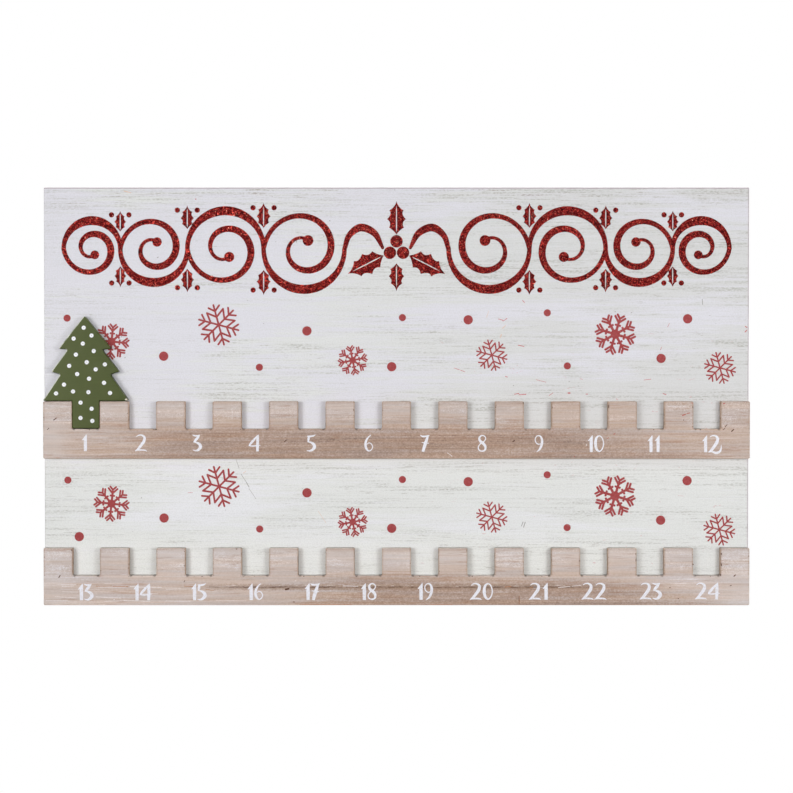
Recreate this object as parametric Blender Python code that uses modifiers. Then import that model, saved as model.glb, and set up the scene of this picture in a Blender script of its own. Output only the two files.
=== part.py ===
"""Wooden countdown board with a tree marker.

A flat wall panel carries two notched rails on its front. A tree-shaped marker stands on the teeth of a
rail with its trunk in a notch, and lifts out to move on to the next day. Two saw-tooth hangers on the
back hold the board on the wall, and two rubber bumpers keep its foot off the wall.

Metres, +Z up. The board faces -Y and the wall is behind it, at Y = 0. X runs along the board, to the
right of someone who looks at its face. Z = 0 is the height at which the hangers rest on their nails.
"""

import math

import bmesh
import bpy
from mathutils import Vector

# Gaps and allowances
SEAT_GAP = 0.0003
RUNNING_GAP = 0.0003
CUT_OVERRUN = 0.002
WELD_DISTANCE = 0.00001

# Facets of round forms
ARC_SEGMENTS = 3
CORNER_SEGMENTS = 2
SCREW_STEPS = 16
NAIL_STEPS = 12
BUMPER_STEPS = 24
SMOOTH_ANGLE = math.radians(35)
RIM_ANGLE = math.radians(60)
FLAT_ANGLE = math.radians(1)

# Panel
BOARD_WIDTH = 0.610
BOARD_HEIGHT = 0.361
PANEL_THICKNESS = 0.009
PANEL_EASE = 0.0006
PANEL_EASE_SEGMENTS = 2

# Rails
RAIL_HEIGHT = 0.0495
RAIL_THICKNESS = 0.009
RAIL_PITCH = 0.1268
RAIL_EASE = 0.0006
RAIL_EASE_SEGMENTS = 2
RAIL_CORNER_RADIUS = 0.0010
NOTCH_COUNT = 12
NOTCH_WIDTH = 0.0238
NOTCH_DEPTH = 0.0238
NOTCH_FILLET = 0.0014

# Tree marker
MARKER_NOTCH = 1
TREE_WIDTH = 0.0744
TREE_CROWN_HEIGHT = 0.0735
TREE_THICKNESS = 0.010
TREE_EASE = 0.0007
TREE_EASE_SEGMENTS = 2
TREE_TIP_RADIUS = 0.0009
TREE_FORK_RADIUS = 0.0008
TREE_LEAN = 0.0012
TIP_WIDTH_SHARES = (1.0, 0.788, 0.614)
TIP_HEIGHT_SHARES = (0.0, 0.343, 0.611)
FORK_WIDTH_SHARES = (0.581, 0.401)
FORK_HEIGHT_SHARES = (0.311, 0.603)

# Screws through the panel into the rails
SCREWS_PER_RAIL = 5
SCREW_END_MARGIN = 0.045
SCREW_RADIUS = 0.0015
SCREW_HEAD_RADIUS = 0.0028
SCREW_HEAD_SINK = 0.0004
SCREW_BITE = 0.0052
SCREW_POINT_LENGTH = 0.0022

# Saw-tooth hangers
HANGER_INSET = 0.105
HANGER_DROP = 0.030
HANGER_LENGTH = 0.045
HANGER_HEIGHT = 0.010
HANGER_THICKNESS = 0.0008
HANGER_STANDOFF = 0.0016
HANGER_EAR_LENGTH = 0.009
HANGER_JOGGLE_LENGTH = 0.003
HANGER_JOGGLE_SEGMENTS = 5
HANGER_CORNER_RADIUS = 0.0022
SAW_TEETH = 8
SAW_PITCH = 0.0024
SAW_DEPTH = 0.0020

# Nails of the hangers
NAIL_RADIUS = 0.0006
NAIL_HEAD_RADIUS = 0.0018
NAIL_HEAD_HEIGHT = 0.0007
NAIL_BITE = 0.0062
NAIL_POINT_LENGTH = 0.0014

# Bumpers
BUMPER_RADIUS = 0.0065
BUMPER_THICKNESS = 0.003
BUMPER_TAPER = 0.0008
BUMPER_ROUND = 0.0008
BUMPER_INSET = 0.018

# Planes along Y, from the wall to the face
PANEL_BACK = -(BUMPER_THICKNESS + SEAT_GAP)
PANEL_FRONT = PANEL_BACK - PANEL_THICKNESS
RAIL_BACK = PANEL_FRONT - SEAT_GAP
TREE_BACK = PANEL_FRONT - RUNNING_GAP

# Heights along Z
PANEL_TOP = HANGER_DROP
PANEL_FOOT = PANEL_TOP - BOARD_HEIGHT
RAIL_FEET = {"upper": PANEL_FOOT + RAIL_PITCH, "lower": PANEL_FOOT}

# Places along the rails
TOOTH_WIDTH = (BOARD_WIDTH - NOTCH_COUNT * NOTCH_WIDTH) / (NOTCH_COUNT + 1)
NOTCH_PITCH = TOOTH_WIDTH + NOTCH_WIDTH
FIRST_NOTCH = -BOARD_WIDTH / 2 + TOOTH_WIDTH + NOTCH_WIDTH / 2
NOTCH_CENTRES = [FIRST_NOTCH + index * NOTCH_PITCH for index in range(NOTCH_COUNT)]
FIRST_SCREW = -BOARD_WIDTH / 2 + SCREW_END_MARGIN
SCREW_PITCH = -2 * FIRST_SCREW / (SCREWS_PER_RAIL - 1)
SCREW_PLACES = [FIRST_SCREW + index * SCREW_PITCH for index in range(SCREWS_PER_RAIL)]
SCREW_HEIGHT = (RAIL_HEIGHT - NOTCH_DEPTH) / 2
SCREW_LENGTH = PANEL_THICKNESS - SCREW_HEAD_SINK + SEAT_GAP + SCREW_BITE
LAST_NAIL = (HANGER_LENGTH - HANGER_EAR_LENGTH) / 2
NAIL_PLACES = (-LAST_NAIL, LAST_NAIL)

FACING_FRONT = (math.radians(90), 0, 0)
FACING_WALL = (math.radians(-90), 0, 0)


def clear_scene():
    for item in list(bpy.data.objects):
        bpy.data.objects.remove(item, do_unlink=True)


def new_collection(name):
    collection = bpy.data.collections.new(name)
    bpy.context.scene.collection.children.link(collection)
    return collection


def make_material(name, colour, roughness, metallic=0.0):
    material = bpy.data.materials.new(name)
    material.use_nodes = True
    shader = material.node_tree.nodes["Principled BSDF"]
    shader.inputs["Base Color"].default_value = (*colour, 1.0)
    shader.inputs["Roughness"].default_value = roughness
    shader.inputs["Metallic"].default_value = metallic
    material.diffuse_color = (*colour, 1.0)
    return material


def add_object(name, mesh, collection, location, rotation=(0, 0, 0)):
    item = bpy.data.objects.new(name, mesh)
    item.location = location
    item.rotation_euler = rotation
    collection.objects.link(item)
    return item


def add_cutter(name, mesh, collection, location, rotation=(0, 0, 0)):
    item = add_object(name, mesh, collection, location, rotation)
    item.hide_render = True
    item.display_type = "WIRE"
    return item


def add_boolean(target, cutter, operation="DIFFERENCE"):
    modifier = target.modifiers.new(cutter.name, "BOOLEAN")
    modifier.operation = operation
    modifier.solver = "EXACT"
    modifier.object = cutter


def rounded_corner(before, corner, after, radius, segments):
    """The points of the arc that rounds one corner of an outline."""
    inward = (before - corner).normalized()
    outward = (after - corner).normalized()
    half_angle = inward.angle(outward) / 2
    longest = min((before - corner).length, (after - corner).length) / 2
    reach = min(radius / math.tan(half_angle), longest)
    radius = reach * math.tan(half_angle)
    centre = corner + (inward + outward).normalized() * radius / math.sin(half_angle)
    start = corner + inward * reach - centre
    end = corner + outward * reach - centre
    turn = math.atan2(start.x * end.y - start.y * end.x, start.dot(end))
    first = math.atan2(start.y, start.x)
    angles = [first + turn * step / segments for step in range(segments + 1)]
    return [centre + Vector((math.cos(angle), math.sin(angle))) * radius for angle in angles]


def rounded_outline(corners):
    """A closed outline from corners of x, height, radius and segments, each corner rounded by its radius."""
    places = [Vector((x, height)) for x, height, radius, segments in corners]
    points = []
    for index, (x, height, radius, segments) in enumerate(corners):
        if radius > 0:
            after = places[(index + 1) % len(places)]
            points += rounded_corner(places[index - 1], places[index], after, radius, segments)
        else:
            points.append(places[index])
    return points


def circle_outline(centre_x, centre_height, radius, steps):
    angles = [2 * math.pi * step / steps for step in range(steps)]
    return [Vector((centre_x + radius * math.cos(a), centre_height + radius * math.sin(a))) for a in angles]


def plate_mesh(name, outlines, thickness):
    """A flat plate with the given outlines, in local XY, centred on its thickness along local Z."""
    curve = bpy.data.curves.new(name, "CURVE")
    curve.dimensions = "2D"
    curve.fill_mode = "BOTH"
    curve.extrude = thickness / 2
    for outline in outlines:
        spline = curve.splines.new("POLY")
        spline.points.add(len(outline) - 1)
        spline.use_cyclic_u = True
        for point, place in zip(spline.points, outline):
            point.co = (place.x, place.y, 0, 1)
    guide = bpy.data.objects.new(name, curve)
    bpy.context.scene.collection.objects.link(guide)
    bpy.context.view_layer.update()
    evaluated = guide.evaluated_get(bpy.context.evaluated_depsgraph_get())
    mesh = bpy.data.meshes.new_from_object(evaluated)
    bpy.data.objects.remove(guide, do_unlink=True)
    bpy.data.curves.remove(curve)
    bm = bmesh.new()
    bm.from_mesh(mesh)
    bmesh.ops.remove_doubles(bm, verts=bm.verts, dist=WELD_DISTANCE)
    if len(outlines) == 1:
        bmesh.ops.dissolve_limit(bm, angle_limit=FLAT_ANGLE, verts=bm.verts, edges=bm.edges)
    bmesh.ops.recalc_face_normals(bm, faces=bm.faces)
    bm.to_mesh(mesh)
    bm.free()
    mesh.name = name
    return mesh


def ease_rims(item, width, segments, back_too):
    """Round the rim of a plate's front face, and of its back face where asked."""
    bm = bmesh.new()
    bm.from_mesh(item.data)
    weight = bm.edges.layers.float.new("bevel_weight_edge")
    for edge in bm.edges:
        heights = [vertex.co.z for vertex in edge.verts]
        front = min(heights) > 0
        back = max(heights) < 0 and back_too
        if (front or back) and edge.calc_face_angle() > RIM_ANGLE:
            edge[weight] = 1.0
    bm.to_mesh(item.data)
    bm.free()
    modifier = item.modifiers.new("eased_rims", "BEVEL")
    modifier.limit_method = "WEIGHT"
    modifier.width = width
    modifier.segments = segments
    modifier.use_clamp_overlap = False


def turned_mesh(name, profile, steps):
    """A turned solid about local Z from a profile of radius and height that runs from its top down."""
    outline = bpy.data.meshes.new(name + "_profile")
    vertices = [(radius, 0, height) for radius, height in profile]
    edges = [(index, index + 1) for index in range(len(profile) - 1)]
    outline.from_pydata(vertices, edges, [])
    guide = bpy.data.objects.new(name, outline)
    bpy.context.scene.collection.objects.link(guide)
    screw = guide.modifiers.new("turn", "SCREW")
    screw.steps = steps
    screw.render_steps = steps
    screw.use_merge_vertices = True
    screw.merge_threshold = WELD_DISTANCE
    bpy.context.view_layer.update()
    evaluated = guide.evaluated_get(bpy.context.evaluated_depsgraph_get())
    mesh = bpy.data.meshes.new_from_object(evaluated)
    bpy.data.objects.remove(guide, do_unlink=True)
    bpy.data.meshes.remove(outline)
    mesh.shade_smooth()
    mesh.set_sharp_from_angle(angle=SMOOTH_ANGLE)
    mesh.name = name
    return mesh


def box_mesh(name, size):
    bm = bmesh.new()
    bmesh.ops.create_cube(bm, size=1)
    bmesh.ops.scale(bm, vec=size, verts=bm.verts)
    mesh = bpy.data.meshes.new(name)
    bm.to_mesh(mesh)
    bm.free()
    return mesh


def screw_profile(gap):
    """A countersunk screw, or the hole that clears it by the gap, from the head's face at height 0."""
    shank = SCREW_RADIUS + gap
    head = SCREW_HEAD_RADIUS + gap
    point = SCREW_LENGTH + gap
    shoulder = point - SCREW_POINT_LENGTH
    return [(0, 0), (head, 0), (shank, shank - head), (shank, -shoulder), (0, -point)]


def screw_hole_profile():
    profile = screw_profile(RUNNING_GAP)
    mouth = [(0, SCREW_HEAD_SINK + CUT_OVERRUN), (profile[1][0], SCREW_HEAD_SINK + CUT_OVERRUN)]
    return mouth + profile[1:]


def nail_profile():
    """A nail with a domed head whose flat underside is at height 0."""
    dome = [(0, NAIL_HEAD_HEIGHT)]
    for step in range(1, CORNER_SEGMENTS + 1):
        angle = math.radians(90) * step / CORNER_SEGMENTS
        dome.append((NAIL_HEAD_RADIUS * math.sin(angle), NAIL_HEAD_HEIGHT * math.cos(angle)))
    length = SEAT_GAP + HANGER_THICKNESS + SEAT_GAP + NAIL_BITE
    shoulder = length - NAIL_POINT_LENGTH
    return dome + [(NAIL_RADIUS, 0), (NAIL_RADIUS, -shoulder), (0, -length)]


def nail_hole_profile():
    """The blind hole in the panel, from its mouth at height 0."""
    radius = NAIL_RADIUS + RUNNING_GAP
    depth = NAIL_BITE + RUNNING_GAP
    return [(0, CUT_OVERRUN), (radius, CUT_OVERRUN), (radius, -(depth - NAIL_POINT_LENGTH)), (0, -depth)]


def bumper_profile():
    """A rubber bumper that tapers from its glued base, at height 0, to a rounded flat top."""
    top = BUMPER_RADIUS - BUMPER_TAPER
    profile = [(0, BUMPER_THICKNESS)]
    for step in range(ARC_SEGMENTS + 1):
        angle = math.radians(90) * step / ARC_SEGMENTS
        radius = top - BUMPER_ROUND + BUMPER_ROUND * math.sin(angle)
        profile.append((radius, BUMPER_THICKNESS - BUMPER_ROUND + BUMPER_ROUND * math.cos(angle)))
    return profile + [(BUMPER_RADIUS, 0), (0, 0)]


def rail_outline():
    """The rail's face, from its foot at height 0, with one square notch for each day."""
    end = BOARD_WIDTH / 2
    floor = RAIL_HEIGHT - NOTCH_DEPTH
    corners = [
        (-end, 0, RAIL_CORNER_RADIUS, CORNER_SEGMENTS),
        (end, 0, RAIL_CORNER_RADIUS, CORNER_SEGMENTS),
        (end, RAIL_HEIGHT, RAIL_CORNER_RADIUS, CORNER_SEGMENTS),
    ]
    for centre in reversed(NOTCH_CENTRES):
        right = centre + NOTCH_WIDTH / 2
        left = centre - NOTCH_WIDTH / 2
        corners += [
            (right, RAIL_HEIGHT, RAIL_CORNER_RADIUS, CORNER_SEGMENTS),
            (right, floor, NOTCH_FILLET, ARC_SEGMENTS),
            (left, floor, NOTCH_FILLET, ARC_SEGMENTS),
            (left, RAIL_HEIGHT, RAIL_CORNER_RADIUS, CORNER_SEGMENTS),
        ]
    corners.append((-end, RAIL_HEIGHT, RAIL_CORNER_RADIUS, CORNER_SEGMENTS))
    return rounded_outline(corners)


def tree_outline():
    """The marker's face, with height 0 where its crown rests on the teeth and its trunk below."""
    trunk = NOTCH_WIDTH / 2 - RUNNING_GAP
    crown = RUNNING_GAP
    foot = RUNNING_GAP - NOTCH_DEPTH
    right = [
        (trunk, foot, NOTCH_FILLET - RUNNING_GAP, ARC_SEGMENTS),
        (trunk, crown, RAIL_CORNER_RADIUS - RUNNING_GAP, CORNER_SEGMENTS),
    ]
    for tier, (width_share, height_share) in enumerate(zip(TIP_WIDTH_SHARES, TIP_HEIGHT_SHARES)):
        tip = (width_share * TREE_WIDTH / 2, crown + height_share * TREE_CROWN_HEIGHT)
        right.append((*tip, TREE_TIP_RADIUS, ARC_SEGMENTS))
        if tier < len(FORK_WIDTH_SHARES):
            fork_x = FORK_WIDTH_SHARES[tier] * TREE_WIDTH / 2
            fork_height = crown + FORK_HEIGHT_SHARES[tier] * TREE_CROWN_HEIGHT
            right.append((fork_x, fork_height, TREE_FORK_RADIUS, CORNER_SEGMENTS))
    left = [(-x, height, radius, segments) for x, height, radius, segments in reversed(right)]
    apex = (0, crown + TREE_CROWN_HEIGHT, TREE_TIP_RADIUS, ARC_SEGMENTS)
    corners = []
    for x, height, radius, segments in right + [apex] + left:
        lean = TREE_LEAN * max(height - crown, 0) / TREE_CROWN_HEIGHT
        corners.append((x - lean, height, radius, segments))
    return rounded_outline(corners)


def hanger_outlines():
    """The die that cuts a hanger from its strip: round corners, a saw-toothed foot and two nail holes."""
    end = HANGER_LENGTH / 2
    foot = -SAW_DEPTH
    top = HANGER_HEIGHT - SAW_DEPTH
    first = -SAW_TEETH * SAW_PITCH / 2
    corners = [(-end, foot, HANGER_CORNER_RADIUS, ARC_SEGMENTS)]
    for tooth in range(SAW_TEETH):
        start = first + tooth * SAW_PITCH
        corners += [(start, foot, 0, 0), (start + SAW_PITCH / 2, 0, 0, 0)]
    corners += [
        (-first, foot, 0, 0),
        (end, foot, HANGER_CORNER_RADIUS, ARC_SEGMENTS),
        (end, top, HANGER_CORNER_RADIUS, ARC_SEGMENTS),
        (-end, top, HANGER_CORNER_RADIUS, ARC_SEGMENTS),
    ]
    holes = [circle_outline(x, (top + foot) / 2, NAIL_RADIUS + RUNNING_GAP, NAIL_STEPS) for x in NAIL_PLACES]
    return [rounded_outline(corners)] + holes


def hanger_strip_mesh():
    """The bent strip as an open surface in local XZ: flat ears, and a middle that stands off the panel."""
    bend = HANGER_LENGTH / 2 - HANGER_EAR_LENGTH
    rise = []
    for step in range(HANGER_JOGGLE_SEGMENTS + 1):
        share = step / HANGER_JOGGLE_SEGMENTS
        ease = (1 - math.cos(math.pi * share)) / 2
        rise.append((bend - HANGER_JOGGLE_LENGTH * share, HANGER_STANDOFF * ease))
    end = HANGER_LENGTH / 2 + CUT_OVERRUN
    right = [(end, 0)] + rise
    profile = right + [(-x, depth) for x, depth in reversed(right)]
    low = -SAW_DEPTH - CUT_OVERRUN
    high = HANGER_HEIGHT - SAW_DEPTH + CUT_OVERRUN
    bm = bmesh.new()
    rows = [[bm.verts.new((x, depth, height)) for x, depth in profile] for height in (low, high)]
    for index in range(len(profile) - 1):
        bm.faces.new((rows[0][index], rows[0][index + 1], rows[1][index + 1], rows[1][index]))
    mesh = bpy.data.meshes.new("hanger_strip")
    bm.to_mesh(mesh)
    bm.free()
    return mesh


def build_panel(parts, cutters):
    mesh = box_mesh("face_panel", (BOARD_WIDTH, PANEL_THICKNESS, BOARD_HEIGHT))
    middle = ((PANEL_BACK + PANEL_FRONT) / 2, (PANEL_TOP + PANEL_FOOT) / 2)
    panel = add_object("face_panel", mesh, parts, (0, *middle))
    mesh.materials.append(make_material("whitewashed_panel", (0.73, 0.73, 0.75), 0.6))
    ease = panel.modifiers.new("eased_edges", "BEVEL")
    ease.width = PANEL_EASE
    ease.segments = PANEL_EASE_SEGMENTS
    for cutter in cutters:
        add_boolean(panel, cutter)


def build_rail(name, foot, parts, cutters, material):
    mesh = plate_mesh(name, [rail_outline()], RAIL_THICKNESS)
    mesh.materials.append(material)
    rail = add_object(name, mesh, parts, (0, RAIL_BACK - RAIL_THICKNESS / 2, foot), FACING_FRONT)
    ease_rims(rail, RAIL_EASE, RAIL_EASE_SEGMENTS, back_too=False)
    for cutter in cutters:
        add_boolean(rail, cutter)


def build_rails(parts, screw_holes):
    wood = make_material("limed_wood", (0.58, 0.46, 0.39), 0.65)
    for name, foot in RAIL_FEET.items():
        build_rail(name + "_rail", foot, parts, screw_holes[name], wood)


def build_tree(parts):
    mesh = plate_mesh("tree_marker", [tree_outline()], TREE_THICKNESS)
    mesh.materials.append(make_material("green_paint", (0.084, 0.109, 0.037), 0.4))
    teeth_top = RAIL_FEET["upper"] + RAIL_HEIGHT
    place = (NOTCH_CENTRES[MARKER_NOTCH - 1], TREE_BACK - TREE_THICKNESS / 2, teeth_top)
    tree = add_object("tree_marker", mesh, parts, place, FACING_FRONT)
    ease_rims(tree, TREE_EASE, TREE_EASE_SEGMENTS, back_too=True)


def build_screws(parts, cutters):
    """The rails' screws, and their cutters in a list for each rail."""
    screw_mesh = turned_mesh("rail_screw", screw_profile(0), SCREW_STEPS)
    screw_mesh.materials.append(make_material("zinc_screw", (0.60, 0.58, 0.50), 0.3, 1.0))
    hole_mesh = turned_mesh("screw_hole", screw_hole_profile(), SCREW_STEPS)
    holes = {}
    for rail, foot in RAIL_FEET.items():
        holes[rail] = []
        for number, x in enumerate(SCREW_PLACES, start=1):
            place = (x, PANEL_BACK - SCREW_HEAD_SINK, foot + SCREW_HEIGHT)
            label = "{}_rail_screw_{}".format(rail, number)
            add_object(label, screw_mesh, parts, place, FACING_WALL)
            holes[rail].append(add_cutter(label + "_hole", hole_mesh, cutters, place, FACING_WALL))
    return holes


def build_hangers(parts, cutters):
    """The two hangers with their nails, and the cutters of the nails' holes."""
    strip_mesh = hanger_strip_mesh()
    strip_mesh.materials.append(make_material("zinc_hanger", (0.62, 0.60, 0.54), 0.35, 1.0))
    die_depth = 2 * (HANGER_STANDOFF + HANGER_THICKNESS + CUT_OVERRUN)
    die_mesh = plate_mesh("hanger_die", hanger_outlines(), die_depth)
    nail_mesh = turned_mesh("hanger_nail", nail_profile(), NAIL_STEPS)
    nail_mesh.materials.append(make_material("steel_nail", (0.50, 0.48, 0.44), 0.35, 1.0))
    hole_mesh = turned_mesh("nail_hole", nail_hole_profile(), NAIL_STEPS)
    ear_back = PANEL_BACK + SEAT_GAP
    nail_height = HANGER_HEIGHT / 2 - SAW_DEPTH
    holes = []
    reach = BOARD_WIDTH / 2 - HANGER_INSET
    for side, x in (("left", -reach), ("right", reach)):
        hanger = add_object("hanger_" + side, strip_mesh, parts, (x, ear_back, 0))
        sheet = hanger.modifiers.new("sheet", "SOLIDIFY")
        sheet.thickness = HANGER_THICKNESS
        sheet.offset = 1
        die = add_cutter("hanger_die_" + side, die_mesh, cutters, (x, ear_back, 0), FACING_FRONT)
        add_boolean(hanger, die, "INTERSECT")
        for number, shift in enumerate(NAIL_PLACES, start=1):
            label = "hanger_{}_nail_{}".format(side, number)
            head = ear_back + HANGER_THICKNESS + SEAT_GAP
            add_object(label, nail_mesh, parts, (x + shift, head, nail_height), FACING_WALL)
            mouth = (x + shift, PANEL_BACK, nail_height)
            holes.append(add_cutter(label + "_hole", hole_mesh, cutters, mouth, FACING_WALL))
    return holes


def build_bumpers(parts):
    mesh = turned_mesh("bumper", bumper_profile(), BUMPER_STEPS)
    mesh.materials.append(make_material("grey_rubber", (0.20, 0.20, 0.20), 0.7))
    reach = BOARD_WIDTH / 2 - BUMPER_INSET
    for side, x in (("left", -reach), ("right", reach)):
        place = (x, PANEL_BACK + SEAT_GAP, PANEL_FOOT + BUMPER_INSET)
        add_object("bumper_" + side, mesh, parts, place, FACING_WALL)


def main():
    clear_scene()
    parts = new_collection("countdown_board")
    cutters = new_collection("cutters")
    screw_holes = build_screws(parts, cutters)
    nail_holes = build_hangers(parts, cutters)
    build_panel(parts, screw_holes["upper"] + screw_holes["lower"] + nail_holes)
    build_rails(parts, screw_holes)
    build_tree(parts)
    build_bumpers(parts)


if __name__ == "__main__":
    main()
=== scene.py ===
import math

import bmesh
import bpy
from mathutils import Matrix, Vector, geometry


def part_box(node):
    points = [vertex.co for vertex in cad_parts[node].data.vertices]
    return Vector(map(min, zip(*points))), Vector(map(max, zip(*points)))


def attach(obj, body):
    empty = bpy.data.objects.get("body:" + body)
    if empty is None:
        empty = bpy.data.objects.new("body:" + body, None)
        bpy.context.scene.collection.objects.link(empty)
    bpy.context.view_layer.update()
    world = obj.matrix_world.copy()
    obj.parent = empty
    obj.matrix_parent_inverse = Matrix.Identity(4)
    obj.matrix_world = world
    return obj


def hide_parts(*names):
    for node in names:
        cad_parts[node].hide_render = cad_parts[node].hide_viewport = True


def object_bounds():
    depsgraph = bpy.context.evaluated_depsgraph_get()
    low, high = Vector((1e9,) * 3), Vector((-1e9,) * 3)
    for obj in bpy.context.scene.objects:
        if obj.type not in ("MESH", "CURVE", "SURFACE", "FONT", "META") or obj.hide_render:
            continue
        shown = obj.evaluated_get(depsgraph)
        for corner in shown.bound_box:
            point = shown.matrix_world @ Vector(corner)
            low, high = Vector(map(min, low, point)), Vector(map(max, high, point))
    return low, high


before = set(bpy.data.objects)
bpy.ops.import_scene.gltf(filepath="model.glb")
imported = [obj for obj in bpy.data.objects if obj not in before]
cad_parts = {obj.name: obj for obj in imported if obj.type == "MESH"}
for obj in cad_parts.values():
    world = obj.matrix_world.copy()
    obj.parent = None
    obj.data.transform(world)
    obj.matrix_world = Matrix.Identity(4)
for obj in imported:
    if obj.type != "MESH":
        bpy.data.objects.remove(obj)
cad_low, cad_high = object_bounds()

# Metres, unless a comment says otherwise. The board faces -Y and +Z is up.
MM = 0.001

# Camera, from the photograph: 793 pixels square, a long lens, pitched slightly down
PHOTO_SIZE = 793
LENS_MM = 110.5
SENSOR_MM = 36.0
CAMERA_DISTANCE = 2.100
CAMERA_PITCH = math.radians(1.38)
AIM_HEIGHT = -0.1505

# Planes of the board, read from the parts
PANEL_LOW, PANEL_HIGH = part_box("face_panel")
RAIL_LOW, RAIL_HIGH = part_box("upper_rail")
LOWER_RAIL_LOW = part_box("lower_rail")[0]
TREE_LOW, TREE_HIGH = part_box("tree_marker")
PANEL_FACE = PANEL_LOW.y
RAIL_FACE = RAIL_LOW.y
RAIL_HEIGHT = RAIL_HIGH.z - RAIL_LOW.z
TREE_FACE = TREE_LOW.y

# Notches of the rails
NOTCH_COUNT = 12
NOTCH_WIDTH = 23.8 * MM
NOTCH_FLOOR = 25.7 * MM
NOTCH_PITCH = (RAIL_HIGH.x - RAIL_LOW.x + NOTCH_WIDTH) / (NOTCH_COUNT + 1)

# Tones of the limed wood, from lime to heartwood
WOOD_TONES = [
    (0.00, (226, 219, 219)),
    (0.20, (208, 194, 188)),
    (0.40, (193, 174, 163)),
    (0.60, (175, 151, 137)),
    (0.80, (153, 129, 115)),
    (1.00, (118, 94, 82)),
]

# Heartwood higher up the rail: how much shorter it is at each end, and how far it lies to the left
HEART_TAPER = 2.2
HEART_LEAN = 1.5

# Thickness of what is printed or stuck on. A rim is lower than the middle.
FLECK = 0.03 * MM
INK = 0.06 * MM
PAINT = 0.09 * MM
GLITTER = 0.26 * MM
GLITTER_RIM = 0.16 * MM
GLITTER_RIM_WIDTH = 0.22 * MM
FLAKES_PER_METRE = 1650.0
FLAKE_TILT = 1.1
DOT_RISE = 0.10 * MM
DOT_RIM = 0.04 * MM
DOT_RIM_WIDTH = 0.45 * MM
CENTRE_SHADE_RISE = 0.02 * MM

# Printed ornaments, placed by their centres in the photograph's pixels
SMALL_DOT = 3.6
LARGE_DOT = 4.7
SMALL_DOTS = [
    (67.1, 318.1), (259.4, 367.3), (402.4, 317.6), (547.3, 312.8), (567.3, 365.9),
    (67.9, 480.1), (259.7, 529), (402.4, 479.5), (547.2, 474.8), (567.1, 527.6),
]
LARGE_DOTS = [
    (79, 375), (163.7, 356.2), (306.9, 330.9), (391.7, 366.7), (468.2, 319.8), (687.6, 318.8),
    (661.1, 358.4), (79.3, 536.6), (164.1, 518), (307, 492.8), (391.7, 528.3), (468.2, 481.7),
    (687.1, 480.7), (660.6, 520.2),
]
# x, y, radius and turn in degrees
EIGHT_ARM_FLAKES = [
    (111.5, 341.5, 18, 39), (352.7, 360.3, 15, 11.5), (615.3, 334.2, 20.7, 28.5),
    (111.5, 503.7, 18, 39), (352.7, 522, 15, 11.5), (615, 496, 20.7, 28.5),
]
SIX_ARM_FLAKES = [
    (218.7, 324.9, 20.5, 45), (491.8, 355.2, 15.6, 45), (720, 367.9, 15.9, 45),
    (219.1, 486.5, 20.5, 45), (491.8, 517.1, 15.6, 45), (719.3, 529.6, 15.9, 45),
]

# Numerals, in the photograph's pixels: centres along each row, and its middle heights at both ends
NUMERAL_HEIGHT = 16.9
UPPER_NUMERALS_Y = (442.7, 443.8)
LOWER_NUMERALS_Y = (592, 591)
UPPER_NUMERALS_X = [84.1, 140.9, 197.6, 254.4, 311.6, 368.6, 425.1, 482.3, 539, 595.8, 653.3, 711.5]
LOWER_NUMERALS_X = [85.4, 142.1, 198.5, 255.1, 311.8, 368.6, 425.1, 481.6, 538.4, 593.9, 650.9, 707.2]

# White dots of the tree: places in the photograph's pixels
TREE_DOT_RADIUS = 2.1
TREE_DOT_SHADE_RADIUS = 0.42
TREE_DOTS = [
    (83.7, 327.7), (91.5, 335.5), (73.6, 338.6), (82.8, 343.6), (93.7, 351), (75.9, 354.6),
    (86.7, 362.2), (104.9, 364.4), (69.2, 365.9), (95.7, 369.4), (77.1, 374.1), (89, 378.7),
    (104, 382.8), (64, 384.6), (56, 393.4), (73, 391.5), (88.4, 392.2), (110, 393),
    (80.5, 402.6), (91.6, 408.8), (80.5, 418), (92.3, 420.9),
]

# Small wear, each a stroke in the photograph's pixels: both ends and the width
PANEL_SCRATCHES = [
    (236, 459.5, 239, 468, 0.45), (241, 474, 246.5, 482.5, 0.55), (246.5, 482.5, 249, 487, 0.8),
    (249, 488.5, 256, 499, 0.4), (521.5, 526, 523, 522, 0.8), (523.6, 527.2, 525.2, 522.2, 0.9),
    (702.2, 299.2, 702.6, 304.6, 0.7), (296.4, 239.4, 296.6, 242.2, 0.8), (615, 311.6, 615.4, 311.6, 0.9),
    (631.3, 312.6, 631.7, 312.6, 0.9), (569, 381.4, 569.4, 381.4, 0.8), (578, 386, 578.4, 386, 0.9),
    (157.4, 257.6, 158.2, 257.2, 1), (329.6, 220.7, 330, 220.9, 1.1), (518, 458, 518.3, 458.4, 0.8),
]
PANEL_RED_FLECKS = [
    (518.2, 345.2, 524, 346.4, 0.8), (454, 368, 459.5, 369.8, 0.5), (460.5, 370.2, 465, 371.8, 0.5),
    (536, 379.6, 546, 382.2, 0.4), (514.5, 394.2, 519, 393.4, 0.8), (519, 394.8, 526, 394.2, 0.8),
    (549, 395.6, 553, 392.8, 0.5), (568, 393, 570, 393, 1.2), (586, 394, 587.6, 394.2, 0.8),
    (644, 380, 651, 379.2, 0.5), (663, 393.6, 666, 394.6, 0.8), (660.4, 350, 661.6, 347, 0.4),
    (745.2, 326.4, 747, 327.4, 0.9), (745, 332, 747, 330, 0.8), (667.6, 327, 669.4, 323.4, 0.4),
    (498.5, 319, 503, 320.2, 0.7), (503, 321.2, 507, 318.4, 0.6), (505.4, 376.4, 507.4, 377, 0.7),
    (188, 492.8, 192.5, 492.4, 0.4), (522.5, 300.5, 524.5, 302.5, 0.7), (195.4, 199, 196, 199.2, 0.9),
]
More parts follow.
